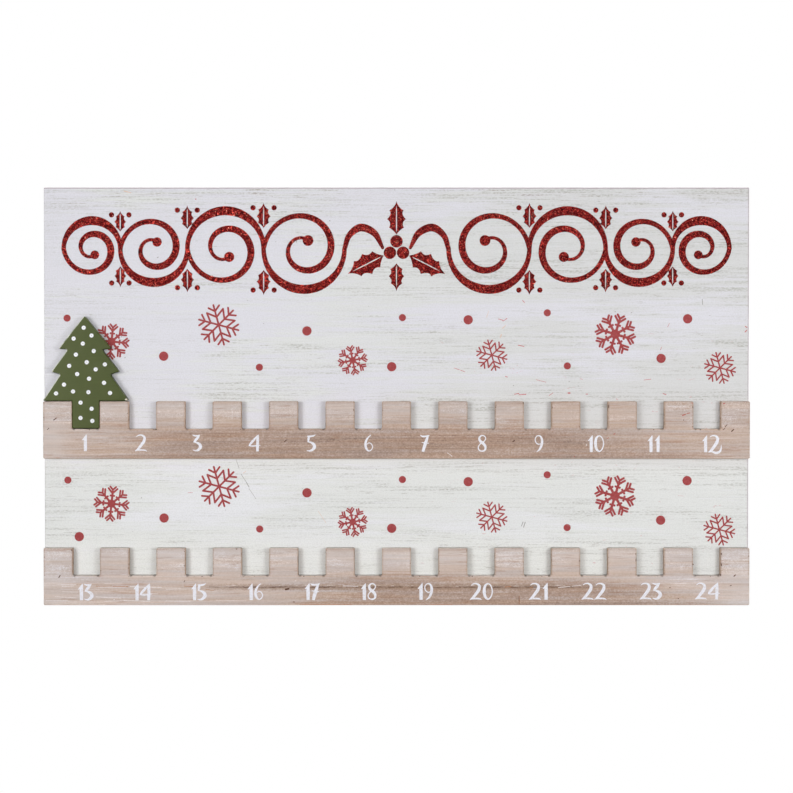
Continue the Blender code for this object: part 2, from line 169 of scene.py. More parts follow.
PANEL_TAN_FLECKS = [
    (500.4, 337.4, 501.4, 334.4, 0.9), (502.4, 328.4, 505.6, 325.4, 0.6), (486.6, 317.5, 488.8, 310.8, 0.4),
    (124, 191, 131, 192.8, 0.8), (243.2, 473.2, 246, 471.2, 0.5), (318, 511, 326, 523, 0.3),
]
RAIL_KNOTS = [
    (53.7, 420, 56.2, 418.2, 1), (47.4, 429.6, 49, 428, 0.7), (284.6, 441.6, 286.2, 440.2, 1.1),
    (513, 441.6, 514.4, 440.6, 1.2), (725.2, 427, 727, 424.8, 0.7), (731.6, 431.4, 733.8, 429.4, 1.1),
    (723.2, 429.6, 724.8, 428.6, 0.7), (683.4, 420, 683.9, 420, 0.8), (653.3, 429.8, 653.8, 429.8, 0.8),
    (58.8, 577.6, 60.2, 575.2, 0.9), (184, 582, 185, 580.4, 0.6), (285.6, 589.4, 288.6, 588.8, 1.9),
    (734, 576.2, 735.4, 575, 1.1), (730, 585.8, 731.4, 585.4, 0.7), (693, 564, 693.3, 564.6, 0.8),
    (669.6, 587.6, 670.4, 587.4, 0.7), (678, 598.7, 678.6, 598.7, 0.8), (519, 596.8, 519.2, 603.4, 0.6),
    (721.4, 553.4, 721.6, 554.4, 1), (721.4, 564.4, 721.6, 565.6, 1), (720.6, 574.6, 720.8, 576, 0.9),
]
RAIL_RED_FLECKS = [
    (682.4, 415.4, 685.4, 414.4, 0.9), (687, 413.6, 690, 412.9, 0.6), (723.4, 403.6, 724.8, 403.4, 1),
    (691.6, 403, 692.4, 403.2, 0.7), (613.8, 434.2, 615, 433.8, 0.9), (607, 438.6, 608.8, 437.6, 0.5),
    (574.3, 456.6, 574.7, 456.8, 0.6),
]
RAIL_TAN_LINES = [
    (96, 586.2, 112, 586, 0.5), (113, 586.3, 128, 586.6, 0.7), (184, 586, 197, 586.8, 0.6),
    (505, 587, 511, 586.4, 0.9), (519.2, 596.2, 519.2, 603.8, 0.9), (530, 587.8, 533, 587.9, 0.8),
    (300, 604.4, 352, 604.6, 0.5), (430, 604.3, 452, 604.5, 0.5), (206, 589.6, 214, 590.4, 0.5),
]
RAIL_LIME_MARKS = [
    (447.4, 452.9, 450, 454.6, 0.6), (450, 454.6, 452, 456.2, 0.7), (586.4, 445, 586.6, 445, 1.3),
    (148.6, 587.1, 162, 587.5, 0.7), (163, 588, 181, 588.3, 0.4), (343, 585.9, 358, 586.2, 0.7),
    (532, 588.2, 545, 587.6, 0.4), (558.4, 587.6, 570, 586.4, 0.6), (572, 586.2, 581.4, 585.2, 0.5),
    (113.8, 599.5, 114.4, 599.5, 0.8), (295.4, 580.8, 296, 580.8, 0.8), (232, 409, 232.2, 419, 0.35),
    (62, 586.4, 74, 586, 0.6), (98, 587.2, 126, 587, 0.5), (130, 586.6, 147, 587.2, 0.8),
    (166, 589.4, 190, 589, 0.4), (57, 584.2, 76, 584.8, 0.6), (104, 583.4, 122, 583, 0.4),
    (55, 596.6, 76, 597.8, 0.5), (46, 600.6, 68, 600.2, 0.5), (96, 596.8, 121, 598.2, 0.6),
    (104, 601.4, 131, 600.4, 0.4), (124, 600.2, 150, 601.6, 0.5), (166, 600.8, 190, 601.6, 0.4),
    (216, 600.2, 246, 600.8, 0.4), (62, 591.8, 78, 592.2, 0.4), (140, 593.4, 158, 593.8, 0.4),
]


def photo_point(x, y, depth):
    """The point at that depth along Y which the camera sees at a pixel of the photograph."""
    focal = PHOTO_SIZE * LENS_MM / SENSOR_MM
    right = (x - PHOTO_SIZE / 2) / focal
    down = (y - PHOTO_SIZE / 2) / focal
    forward = Vector((0, math.cos(CAMERA_PITCH), -math.sin(CAMERA_PITCH)))
    upward = Vector((0, math.sin(CAMERA_PITCH), math.cos(CAMERA_PITCH)))
    ray = forward + Vector((1, 0, 0)) * right - upward * down
    eye = camera_place()
    return eye + ray * ((depth - eye.y) / ray.y)


def camera_place():
    back = CAMERA_DISTANCE * math.cos(CAMERA_PITCH)
    return Vector((0, RAIL_FACE - back, AIM_HEIGHT + CAMERA_DISTANCE * math.sin(CAMERA_PITCH)))


def photo_scale(depth):
    """Metres for each pixel of the photograph at that depth along Y."""
    return (photo_point(PHOTO_SIZE, 0, depth).x - photo_point(0, 0, depth).x) / PHOTO_SIZE


# Flat outlines. A shape is a list of polygons of x, z points that may overlap.
SMALLEST_AREA = 1e-11
MERGE_DISTANCE = 1e-5
FLAT_ANGLE = math.radians(1)


def disc(x, z, radius, steps=28):
    angles = [2 * math.pi * step / steps for step in range(steps)]
    return [Vector((x + radius * math.cos(a), z + radius * math.sin(a))) for a in angles]


def capsule(start, end, width, steps=5):
    """A straight stroke with round ends."""
    start = Vector(start)
    end = Vector(end)
    along = math.atan2(end.y - start.y, end.x - start.x)
    points = []
    for centre, first in ((end, along - math.pi / 2), (start, along + math.pi / 2)):
        for step in range(steps + 1):
            angle = first + math.pi * step / steps
            points.append(centre + Vector((math.cos(angle), math.sin(angle))) * width / 2)
    return points


def smooth_stroke(points, steps=8, closed=False):
    """A curve of x, z, width through the given ones, by Catmull-Rom."""
    nodes = [Vector(point) for point in points]
    if closed:
        nodes = [nodes[-1]] + nodes + nodes[:2]
    else:
        nodes = [nodes[0] * 2 - nodes[1]] + nodes + [nodes[-1] * 2 - nodes[-2]]
    curve = []
    for a, b, c, d in zip(nodes, nodes[1:], nodes[2:], nodes[3:]):
        square = 2 * a - 5 * b + 4 * c - d
        cube = 3 * b - a - 3 * c + d
        for step in range(steps):
            t = step / steps
            curve.append(0.5 * (2 * b + (c - a) * t + square * t**2 + cube * t**3))
    curve.append(nodes[-2])
    return curve


def ribbon(curve, round_start=True, round_end=True):
    """The polygons of a stroke along a curve of x, z, width."""
    flat = [point.xy for point in curve]
    sides = []
    for index, point in enumerate(curve):
        before = flat[max(index - 1, 0)]
        after = flat[min(index + 1, len(flat) - 1)]
        along = (after - before).normalized()
        across = Vector((-along.y, along.x)) * max(point.z, 0) / 2
        sides.append((flat[index] + across, flat[index] - across))
    shape = []
    for (left, right), (next_left, next_right) in zip(sides, sides[1:]):
        shape.append([left, right, next_right, next_left])
    if round_start:
        shape.append(disc(*flat[0], curve[0].z / 2, 14))
    if round_end:
        shape.append(disc(*flat[-1], curve[-1].z / 2, 14))
    return shape


def placed(shape, x, z, scale=1.0, turn=0.0, mirror=False):
    """A copy of a shape, mirrored, scaled, turned and moved, in this order."""
    cosine = math.cos(turn)
    sine = math.sin(turn)
    moved = []
    for polygon in shape:
        points = []
        for point in polygon:
            px = -point.x if mirror else point.x
            along = px * cosine - point.y * sine
            across = px * sine + point.y * cosine
            points.append(Vector((x + scale * along, z + scale * across)))
        moved.append(points)
    return moved


def area_of(polygon):
    following = polygon[1:] + polygon[:1]
    return sum(a.x * b.y - b.x * a.y for a, b in zip(polygon, following)) / 2


def simple_polygons(shape):
    """The polygons, turned to run anticlockwise, with each quad cut into triangles."""
    simple = []
    for polygon in shape:
        pieces = [polygon]
        if len(polygon) == 4:
            pieces = [polygon[:3], [polygon[0], polygon[2], polygon[3]]]
        for piece in pieces:
            area = area_of(piece)
            if abs(area) > SMALLEST_AREA:
                simple.append(piece if area > 0 else piece[::-1])
    return simple


def relief(name, shape, depth, rise, material, slot, body, rim_width=0.0, rim_rise=0.0):
    """A flat body of the union of a shape's polygons, standing out of a face at that depth along Y."""
    places = []
    faces = []
    for polygon in simple_polygons(shape):
        faces.append(list(range(len(places), len(places) + len(polygon))))
        places += [point / MM for point in polygon]
    points, _, triangles, _, _, sources = geometry.delaunay_2d_cdt(places, [], faces, 0, MERGE_DISTANCE)
    bm = bmesh.new()
    vertices = [bm.verts.new((point.x * MM, depth, point.y * MM)) for point in points]
    for triangle, source in zip(triangles, sources):
        if source:
            bm.faces.new([vertices[index] for index in triangle])
    bmesh.ops.delete(bm, geom=[v for v in bm.verts if not v.link_faces], context="VERTS")
    bmesh.ops.dissolve_limit(bm, angle_limit=FLAT_ANGLE, verts=bm.verts, edges=bm.edges)
    bmesh.ops.triangulate(bm, faces=[face for face in bm.faces if len(face.verts) > 4])
    front = bmesh.ops.extrude_face_region(bm, geom=list(bm.faces))["geom"]
    lifted = [item for item in front if isinstance(item, bmesh.types.BMVert)]
    first_rise = rim_rise if rim_width else rise
    bmesh.ops.translate(bm, vec=(0, -first_rise, 0), verts=lifted)
    bmesh.ops.recalc_face_normals(bm, faces=bm.faces)
    if rim_width:
        tops = [item for item in front if isinstance(item, bmesh.types.BMFace)]
        bmesh.ops.inset_region(bm, faces=tops, thickness=rim_width, depth=0, use_even_offset=True)
        inner = {vertex for face in tops for vertex in face.verts}
        bmesh.ops.translate(bm, vec=(0, rim_rise - rise, 0), verts=list(inner))
    return add_piece(name, mesh_of(bm, name), material, body)


def mesh_of(bm, name):
    mesh = bpy.data.meshes.new(name)
    bm.to_mesh(mesh)
    bm.free()
    return mesh


def add_object(name, data):
    item = bpy.data.objects.new(name, data)
    bpy.context.scene.collection.objects.link(item)
    return item


def add_piece(name, mesh, material, body):
    mesh.materials.append(material)
    item = add_object(name, mesh)
    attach(item, body)
    return item


# Shader nodes


class Field:
    """A value or colour that varies over a surface: one output of a shader node."""

    def __init__(self, socket):
        self.socket = socket

    def __add__(self, other):
        return calc("ADD", self, other)

    def __sub__(self, other):
        return calc("SUBTRACT", self, other)

    def __rsub__(self, other):
        return calc("SUBTRACT", other, self)

    def __mul__(self, other):
        return calc("MULTIPLY", self, other)

    def __truediv__(self, other):
        return calc("DIVIDE", self, other)

    def __abs__(self):
        return calc("ABSOLUTE", self)


def tree_of(*values):
    """The node tree of the first field among the values."""
    return next(value.socket.id_data for value in values if isinstance(value, Field))


def new_material(name, roughness=0.5, metallic=0.0, gloss=0.25):
    material = bpy.data.materials.new(name)
    material.use_nodes = True
    shader = material.node_tree.nodes["Principled BSDF"]
    shader.inputs["Roughness"].default_value = roughness
    shader.inputs["Metallic"].default_value = metallic
    shader.inputs["Specular IOR Level"].default_value = gloss
    return material, material.node_tree, shader


def feed(item, socket, value):
    """Gives a node's input a field or a plain value."""
    if isinstance(value, Field):
        item.id_data.links.new(value.socket, item.inputs[socket])
    else:
        item.inputs[socket].default_value = value


def node(tree, kind, output, inputs, **settings):
    """A new shader node's output, as a field."""
    item = tree.nodes.new("ShaderNode" + kind)
    for key, value in settings.items():
        setattr(item, key, value)
    for socket, value in inputs.items():
        feed(item, socket, value)
    return Field(item.outputs[output])


def calc(operation, a, b=0.0):
    return node(tree_of(a, b), "Math", 0, {0: a, 1: b}, operation=operation)


def larger(a, b):
    return calc("MAXIMUM", a, b)


def vector_calc(operation, output, a, b):
    return node(tree_of(a), "VectorMath", output, {0: a, 1: b}, operation=operation)


def object_place(tree):
    return node(tree, "TexCoord", "Object", {})


def axis(tree, name):
    return node(tree, "SeparateXYZ", name, {"Vector": object_place(tree)})


def slope(tree, name):
    """How far the surface faces along an axis, from -1 to 1."""
    return node(tree, "SeparateXYZ", name, {"Vector": node(tree, "TexCoord", "Normal", {})})


def noise(tree, scale, place=(0, 0, 0), detail=3.0, roughness=0.55, distortion=0.0):
    """Noise with a scale for each axis, in features for each metre."""
    stretch = {"Vector": object_place(tree), "Scale": scale, "Location": place}
    inputs = {
        "Vector": node(tree, "Mapping", "Vector", stretch),
        "Scale": 1.0,
        "Detail": detail,
        "Roughness": roughness,
        "Distortion": distortion,
    }
    return node(tree, "TexNoise", "Fac", inputs)


def between(value, low, high, to_low=0.0, to_high=1.0, smooth=True):
    """Remaps a field from low..high to another range, clamped."""
    kind = "SMOOTHSTEP" if smooth else "LINEAR"
    inputs = {"Value": value, "From Min": low, "From Max": high, "To Min": to_low, "To Max": to_high}
    return node(tree_of(value), "MapRange", "Result", inputs, interpolation_type=kind, clamp=True)


def blend(share, a, b, kind="MIX"):
    """A mix of two colours, which are fields or 8-bit screen values."""
    first, second = (value if isinstance(value, Field) else srgb(*value) for value in (a, b))
    inputs = {0: share, 6: first, 7: second}
    settings = {"data_type": "RGBA", "blend_type": kind, "clamp_factor": True}
    return node(tree_of(share, a, b), "Mix", 2, inputs, **settings)


def ramp(value, stops):
    """Colours by a field, from stops of a place between 0 and 1 and a colour."""
    colours = node(tree_of(value), "ValToRGB", "Color", {"Fac": value})
    elements = colours.socket.node.color_ramp.elements
    while len(elements) < len(stops):
        elements.new(0.5)
    for element, (place, colour) in zip(elements, stops):
        element.position = place
        element.color = srgb(*colour)
    return colours


def srgb(red, green, blue):
    """A colour from 8-bit screen values."""
    channels = []
    for value in (red, green, blue):
        share = value / 255
        channels.append(share / 12.92 if share <= 0.04045 else ((share + 0.055) / 1.055) ** 2.4)
    return (*channels, 1.0)


def bump(shader, height, distance, strength=1.0):
    inputs = {"Height": height, "Distance": distance, "Strength": strength}
    feed(shader, "Normal", node(tree_of(height), "Bump", "Normal", inputs))


def notch_place(x):
    """The place within a notch's pitch, from 0 to 1, with the notch's middle at 0.5."""
    whole_pitches = 10.0
    return calc("FRACT", x / NOTCH_PITCH + whole_pitches)


def whitewash(tree, x, z):
    """The panel's paint, with painted light below the upper rail, and the noise that its brush lines
    follow.
    """
    # a lavender white that turns greyer in zones, whose borders fray along the grain
    zone = noise(tree, (3.4, 1, 17), place=(0.7, 0, 3.1), detail=4, roughness=0.6, distortion=0.3)
    fray = noise(tree, (12, 1, 330), place=(4, 0, 6), detail=4, roughness=0.7)
    lean = between(x, -0.3, 0.3, -0.06, 0.17, smooth=False)
    lean += between(z, -0.02, -0.26, -0.04, 0.07, smooth=False)
    zone += between(fray, 0.3, 0.7, -0.1, 0.1, smooth=False)
    wash = between(zone + lean, 0.46, 0.62)
    # painted light: paler below the upper rail's foot, evening out the shade the rail casts there
    low = between(z, -0.203, -0.219)
    grey = blend(between(x, -0.12, 0.2), (220, 221, 220), (212, 212, 212))
    grey = blend(low, grey, (222, 223, 221))
    lavender = blend(low, (219, 218, 225), (227, 227, 230))
    base = blend(wash, lavender, grey)
    foot = between(z, -0.255, -0.29, 0, 0.7) * between(x, 0.12, 0.26, 1.0, 0.1)
    base = blend(foot, base, (229, 230, 226))
    # brush lines, long and thin, gathered in bands and broken up by the dry brush
    dry = noise(tree, (380, 1, 900), place=(8, 0, 3), detail=2, roughness=0.6)
    dry = between(dry, 0.4, 0.6, 0.15, 1.05)
    bands = noise(tree, (5, 1, 62), place=(5, 0, 2), detail=5, roughness=0.68)
    level = bands + between(z, -0.006, 0.024, 0, 0.13) + wash * 0.05
    gather = between(level, 0.44, 0.64, 0.14, 1.15) * dry
    gather *= between(wash, 0.0, 1.0, 0.5, 1.15, smooth=False)
    gather *= between(low, 0.0, 1.0, 1.0, 0.72, smooth=False)
    lines = noise(tree, (9, 1, 520), place=(11, 0, 5), detail=4, roughness=0.72)
    streak = between(lines, 0.49, 0.6) * gather
    base = blend(streak * 0.8, base, (182, 182, 177))
    dashes = noise(tree, (55, 1, 820), place=(2, 0, 8), detail=3, roughness=0.65)
    dashes = between(dashes, 0.54, 0.68) * gather
    base = blend(dashes * 0.8, base, (168, 165, 158))
    brown = noise(tree, (30, 1, 700), place=(1, 0, 9), detail=4, roughness=0.7)
    brown = between(brown, 0.55, 0.66) * between(level, 0.6, 0.78) * dry
    base = blend(brown * 0.85, base, (140, 122, 110))
    pale = noise(tree, (16, 1, 460), place=(6, 0, 1), detail=4, roughness=0.7)
    base = blend(between(pale, 0.56, 0.7, 0, 0.45), base, (229, 228, 234))
    weave = noise(tree, (820, 1, 900), place=(1, 0, 4), detail=1)
    base = blend(between(weave, 0.6, 0.34, 0, 0.21), base, (188, 187, 186))
    specks = noise(tree, (360, 1, 380), place=(2, 0, 2), detail=1)
    base = blend(between(specks, 0.765, 0.81, 0, 0.6), base, (122, 112, 108))
    # faint red scratches low on the right
    scratch = noise(tree, (150, 1, 420), place=(4, 0, 1), detail=2, distortion=1.2)
    right = between(x, -0.02, 0.08) * between(z, -0.08, -0.105)
    scratch = between(scratch, 0.71, 0.76) * right
    base = blend(scratch * 0.5, base, (196, 122, 128))
    return base, lines


def dusted(base, x, z):
    """Adds painted shade on the panel beside the rails' teeth, wider and darker on each notch's left side.
    """
    across = notch_place(x) * NOTCH_PITCH
    from_left = across - (NOTCH_PITCH - NOTCH_WIDTH) / 2
    from_right = (NOTCH_PITCH + NOTCH_WIDTH) / 2 - across
    # painted shade: darker next to each notch's walls, between the rails' feet and tops
    painted_shade = between(from_left, 6.0 * MM, 1.0 * MM, 0, 0.16)
    painted_shade = larger(painted_shade, between(from_right, 4.0 * MM, 0.5 * MM, 0, 0.06))
    behind = []
    for foot in (RAIL_LOW.z, LOWER_RAIL_LOW.z):
        above = between(z, foot, foot + 1 * MM)
        top = foot + RAIL_HEIGHT
        behind.append(above * between(z, top + 0.5 * MM, top - 3 * MM))
    painted_shade *= larger(*behind)
    base = blend(painted_shade, base, (124, 120, 118))
    return base


def worn_at_edges(tree, base, x, z):
    """Adds the panel's mauve edge, and paint rubbed thin next to it."""
    wear = noise(tree, (210, 640, 640), detail=4, roughness=0.65)
    edge = blend(between(wear, 0.3, 0.62), (166, 146, 150), (206, 194, 196))
    depth = axis(tree, "Y")
    ragged = wear * (0.7 * MM)
    from_top = PANEL_HIGH.z - z + ragged
    from_right = PANEL_HIGH.x - x + ragged
    from_left = x - PANEL_LOW.x + ragged
    rim = between(from_top, 1.7 * MM, 1.1 * MM)
    rim = larger(rim, between(from_right, 1.4 * MM, 0.8 * MM))
    rim = larger(rim, between(from_left, 0.9 * MM, 0.4 * MM, 0, 0.4))
    base = blend(rim * 0.8, base, (176, 160, 170))
    on_edge = between(depth, PANEL_FACE + 0.1 * MM, PANEL_FACE + 0.4 * MM)
    base = blend(on_edge, base, edge)
    return base


def bare_fibreboard(tree):
    """The panel's back, and the noise of its fibres."""
    fibre = noise(tree, (900, 900, 900), detail=4, roughness=0.7)
    cloud = noise(tree, (14, 14, 14), detail=3)
    back = blend(between(fibre, 0.3, 0.7), (172, 142, 108), (202, 176, 142))
    back = blend(between(cloud, 0.35, 0.7, 0, 0.35), back, (166, 136, 102))
    chips = noise(tree, (330, 330, 330), place=(3, 0, 9), detail=3, roughness=0.6)
    back = blend(between(chips, 0.58, 0.72, 0, 0.55), back, (132, 102, 74))
    back = blend(between(chips, 0.42, 0.3, 0, 0.45), back, (220, 200, 170))
    rubs = noise(tree, (5, 1, 300), place=(6, 0, 6), detail=4, roughness=0.7)
    back = blend(between(rubs, 0.58, 0.7, 0, 0.3), back, (214, 192, 160))
    return back, fibre


def panel_material():
    """Whitewashed, printed board face with painted shade beside the rails' teeth and painted light below
    the upper rail; worn mauve edges; bare fibreboard behind.
    """
    material, tree, shader = new_material("whitewashed_face", gloss=0.15)
    x = axis(tree, "X")
    z = axis(tree, "Z")
    base, lines = whitewash(tree, x, z)
    base = dusted(base, x, z)
    base = worn_at_edges(tree, base, x, z)
    back, fibre = bare_fibreboard(tree)
    depth = axis(tree, "Y")
    on_back = between(depth, PANEL_HIGH.y - 0.9 * MM, PANEL_HIGH.y - 0.5 * MM)
    feed(shader, "Base Color", blend(on_back, base, back))
    feed(shader, "Roughness", between(lines, 0.3, 0.7, 0.52, 0.66))
    bump(shader, lines * -0.7 + fibre * 0.4, 0.05 * MM, 0.5)
    return material


def ridge(value, width):
    """Thin lines where a noise crosses its middle."""
    return between(abs(value - 0.5), width, 0.0)


def cracked(tree, base, x, height, grain, shift, crack):
    """Adds a long crack with filler left beside it."""
    middle_height, half, strength, middle, end = crack
    jagged = noise(tree, (120, 1, 110), place=(shift, 2, 5), detail=6, roughness=0.9)
    along = height + between(jagged, 0.3, 0.7, -0.8 * MM, 0.8 * MM, smooth=False)
    from_crack = abs(along - middle_height)
    reach = abs(x - middle)
    reach = between(reach, end, 0.55 * end, 0, strength)
    broken = noise(tree, (95, 1, 420), place=(shift, 0, 8), detail=5, roughness=0.85)
    soaked = from_crack - grain * (2.2 * MM)
    stain = between(soaked, 2.0 * MM, 0.0)
    base = blend(stain * reach * 0.62, base, (146, 120, 102))
    dark = between(from_crack, half, 0.2 * half)
    dark *= between(broken, 0.42, 0.55, 0.0, 0.95)
    base = blend(dark * reach, base, (104, 78, 64))
    above = abs(along - (middle_height + 1.5 * half))
    filler = noise(tree, (60, 1, 420), place=(shift, 4, 8), detail=4, roughness=0.75)
    filler = between(above, half, 0.0) * between(filler, 0.52, 0.62)
    base = blend(filler * reach, base, (222, 212, 206))
    return base


def sawn(tree, base, x, height, shift, ledge_light_and_shade):
    """Adds wood browned by the saw beside each notch, burnt specks, worn rims, upward faces coloured as
    painted light and shade, and notch corners darkened by burn and painted shade.
    """
    saw = noise(tree, (700, 120, 700), place=(1, shift, 0), detail=4, roughness=0.7)
    from_notch = abs(notch_place(x) - 0.5) * NOTCH_PITCH - NOTCH_WIDTH / 2
    from_floor = NOTCH_FLOOR - height
    from_cut = larger(from_notch, from_floor)
    beside = larger(from_notch, from_floor + 1.1 * MM)
    ragged = between(saw, 0.3, 0.6, 0.55, 1.0)
    browned = between(beside, 1.9 * MM, 0.2 * MM, 0, 0.42)
    base = blend(browned * ragged, base, (156, 122, 98))
    topped = between(RAIL_HEIGHT - height, 4.6 * MM, 0.4 * MM, 0, 0.36)
    topped *= between(saw, 0.3, 0.6, 0.6, 1.0)
    base = blend(topped, base, (150, 118, 96))
    specks = noise(tree, (330, 330, 330), place=(shift, 7, 0), detail=2)
    specks = between(specks, 0.62, 0.68) * between(from_cut, 1.3 * MM, 0.7 * MM)
    base = blend(specks * 0.85, base, (62, 44, 36))
    # rims rubbed through to bare wood, sawn walls, and upward faces in their own colour, painted light and
    # shade of the tops and notch floors
    bare = blend(between(saw, 0.35, 0.7), (206, 180, 160), (178, 150, 130))
    rim = between(axis(tree, "Y"), RAIL_FACE + 0.02 * MM, RAIL_FACE + 0.25 * MM)
    base = blend(rim * 0.9, base, bare)
    ledge_shading = blend(between(saw, 0.4, 0.66), ledge_light_and_shade, [value - 14 for value in ledge_light_and_shade])
    base = blend(between(slope(tree, "Z"), 0.45, 0.8), base, ledge_shading)
    # darker round each notch's inner corners: burn from the cut, and painted shade in the corner
    to_corner = node(tree, "CombineXYZ", "Vector", {"X": from_notch + 1.7 * MM, "Y": from_floor})
    to_corner = vector_calc("LENGTH", "Value", to_corner, (0, 0, 0))
    burn_and_corner_shade = between(to_corner, 1.8 * MM, 0.5 * MM, 0, 0.62)
    base = blend(burn_and_corner_shade * ragged, base, (74, 60, 52))
    burn = noise(tree, (160, 90, 160), place=(0, 2, shift), detail=3)
    wall = abs(slope(tree, "X")) * between(burn, 0.54, 0.68, 0, 0.6)
    base = blend(wall, base, (92, 70, 60))
    return base


def rail_material(name, foot, shift, body, heart, heart_reach, crack, film, ledge_light_and_shade):
    """Limed softwood, by a tone from 0, lime white, to 1, dark heartwood.

    foot is the height of the rail's foot, and shift sets one rail's patterns apart from the other's.
    body is the tone away from the heartwood. heart gives what the heartwood adds, and the heights over
    the foot where it starts to fade and where it ends. heart_reach gives its middle along the foot, and
    how far from there it starts to fade and ends. crack gives the height of a long crack along the
    grain, its half width, its strength, and its middle and reach along the rail. film is the strength
    of the lime film on the teeth at the left and right end, and ledge_light_and_shade the colour of
    upward faces, painted light and shade of the tops and notch floors.
    """
    material, tree, shader = new_material(name, gloss=0.15)
    heart_tone, heart_fade, heart_top = heart
    heart_middle, heart_near, heart_far = heart_reach
    x = axis(tree, "X")
    height = axis(tree, "Z") - foot
    drift = noise(tree, (3.2, 1, 14), place=(shift, 0, shift), detail=3, distortion=0.4)
    cloud = noise(tree, (9, 1, 80), place=(1, 0, shift), detail=4, roughness=0.6)
    lines = noise(tree, (5, 300, 620), place=(shift, 0, 2), detail=4, roughness=0.72)
    fibres = noise(tree, (46, 300, 900), place=(0, shift, 4), detail=3, roughness=0.62)
    grain = noise(tree, (720, 300, 940), place=(4, shift, 0), detail=1)
    # darker heartwood, wandering a little
    level = height + between(drift, 0.3, 0.7, -3 * MM, 3 * MM, smooth=False)
    from_heart = x - heart_middle + level * HEART_LEAN
    from_heart = abs(from_heart) + level * HEART_TAPER
    inside = between(level, heart_top, heart_fade) * between(from_heart, heart_far, heart_near)
    # the tone: broad changes, lines and fibres along the grain, and the grain's own pores
    tone = inside * heart_tone + body
    in_lines = inside * 0.22 + 0.56
    in_grain = inside * 0.38 + 0.24
    for pattern, strength in ((cloud, 0.28), (lines, in_lines), (fibres, 0.24), (grain, in_grain)):
        tone += (pattern - 0.5) * strength
    # lime left in the pores, most of it towards the ends and high on the teeth
    patch = noise(tree, (14, 1, 70), place=(shift, 3, 0), detail=3)
    high = between(height, 28 * MM, 50 * MM, 0, 0.09)
    outer = between(abs(x), 0.2, 0.3, 0, 0.14)
    spread = patch + high + outer
    lime = noise(tree, (24, 300, 820), place=(7, 0, shift), detail=4, roughness=0.7)
    lime = between(lime, 0.51, 0.62) * between(spread, 0.5, 0.7)
    crackle = noise(tree, (300, 300, 430), place=(2, shift, 2), detail=2, roughness=0.6, distortion=1.2)
    crackle = ridge(crackle, 0.07) * between(spread, 0.5, 0.66)
    crackle *= between(height, 22 * MM, 32 * MM, 0.2, 1.0)
    tone -= lime * 0.15
    tone -= crackle * 0.3
    base = ramp(tone, WOOD_TONES)
    warm = noise(tree, (9, 1, 230), place=(shift, 6, 1), detail=3, roughness=0.6)
    warmth = blend(between(warm, 0.36, 0.64), (244, 248, 253), (253, 248, 242))
    base = blend(1.0, base, warmth, kind="MULTIPLY")
    # a greyish film of lime on the teeth and the ends
    veil = between(height, 28 * MM, 46 * MM)
    veil = larger(veil, between(abs(x), 0.275, 0.297, 0, 0.8))
    veil *= between(x, -0.25, 0.25, film[0], film[1], smooth=False)
    veil *= between(cloud, 0.3, 0.66, 1.25, 0.65, smooth=False)
    base = blend(veil, base, (209, 201, 198))
    # thin brown lines along the grain
    thin = ridge(noise(tree, (6, 300, 200), place=(shift, 5, 0), detail=3), 0.016)
    base = blend(thin * 0.4, base, (156, 112, 84))
    base = cracked(tree, base, x, height, grain, shift, crack)
    # small knots and brown flecks
    flecks = noise(tree, (150, 1, 260), place=(shift, 0, 6), detail=1)
    base = blend(between(flecks, 0.775, 0.82, 0, 0.85), base, (100, 64, 46))
    base = sawn(tree, base, x, height, shift, ledge_light_and_shade)
    feed(shader, "Base Color", base)
    feed(shader, "Roughness", between(fibres, 0.3, 0.7, 0.58, 0.74))
    bump(shader, fibres * -1.0 + grain * -0.5, 0.08 * MM, 0.8)
    return material


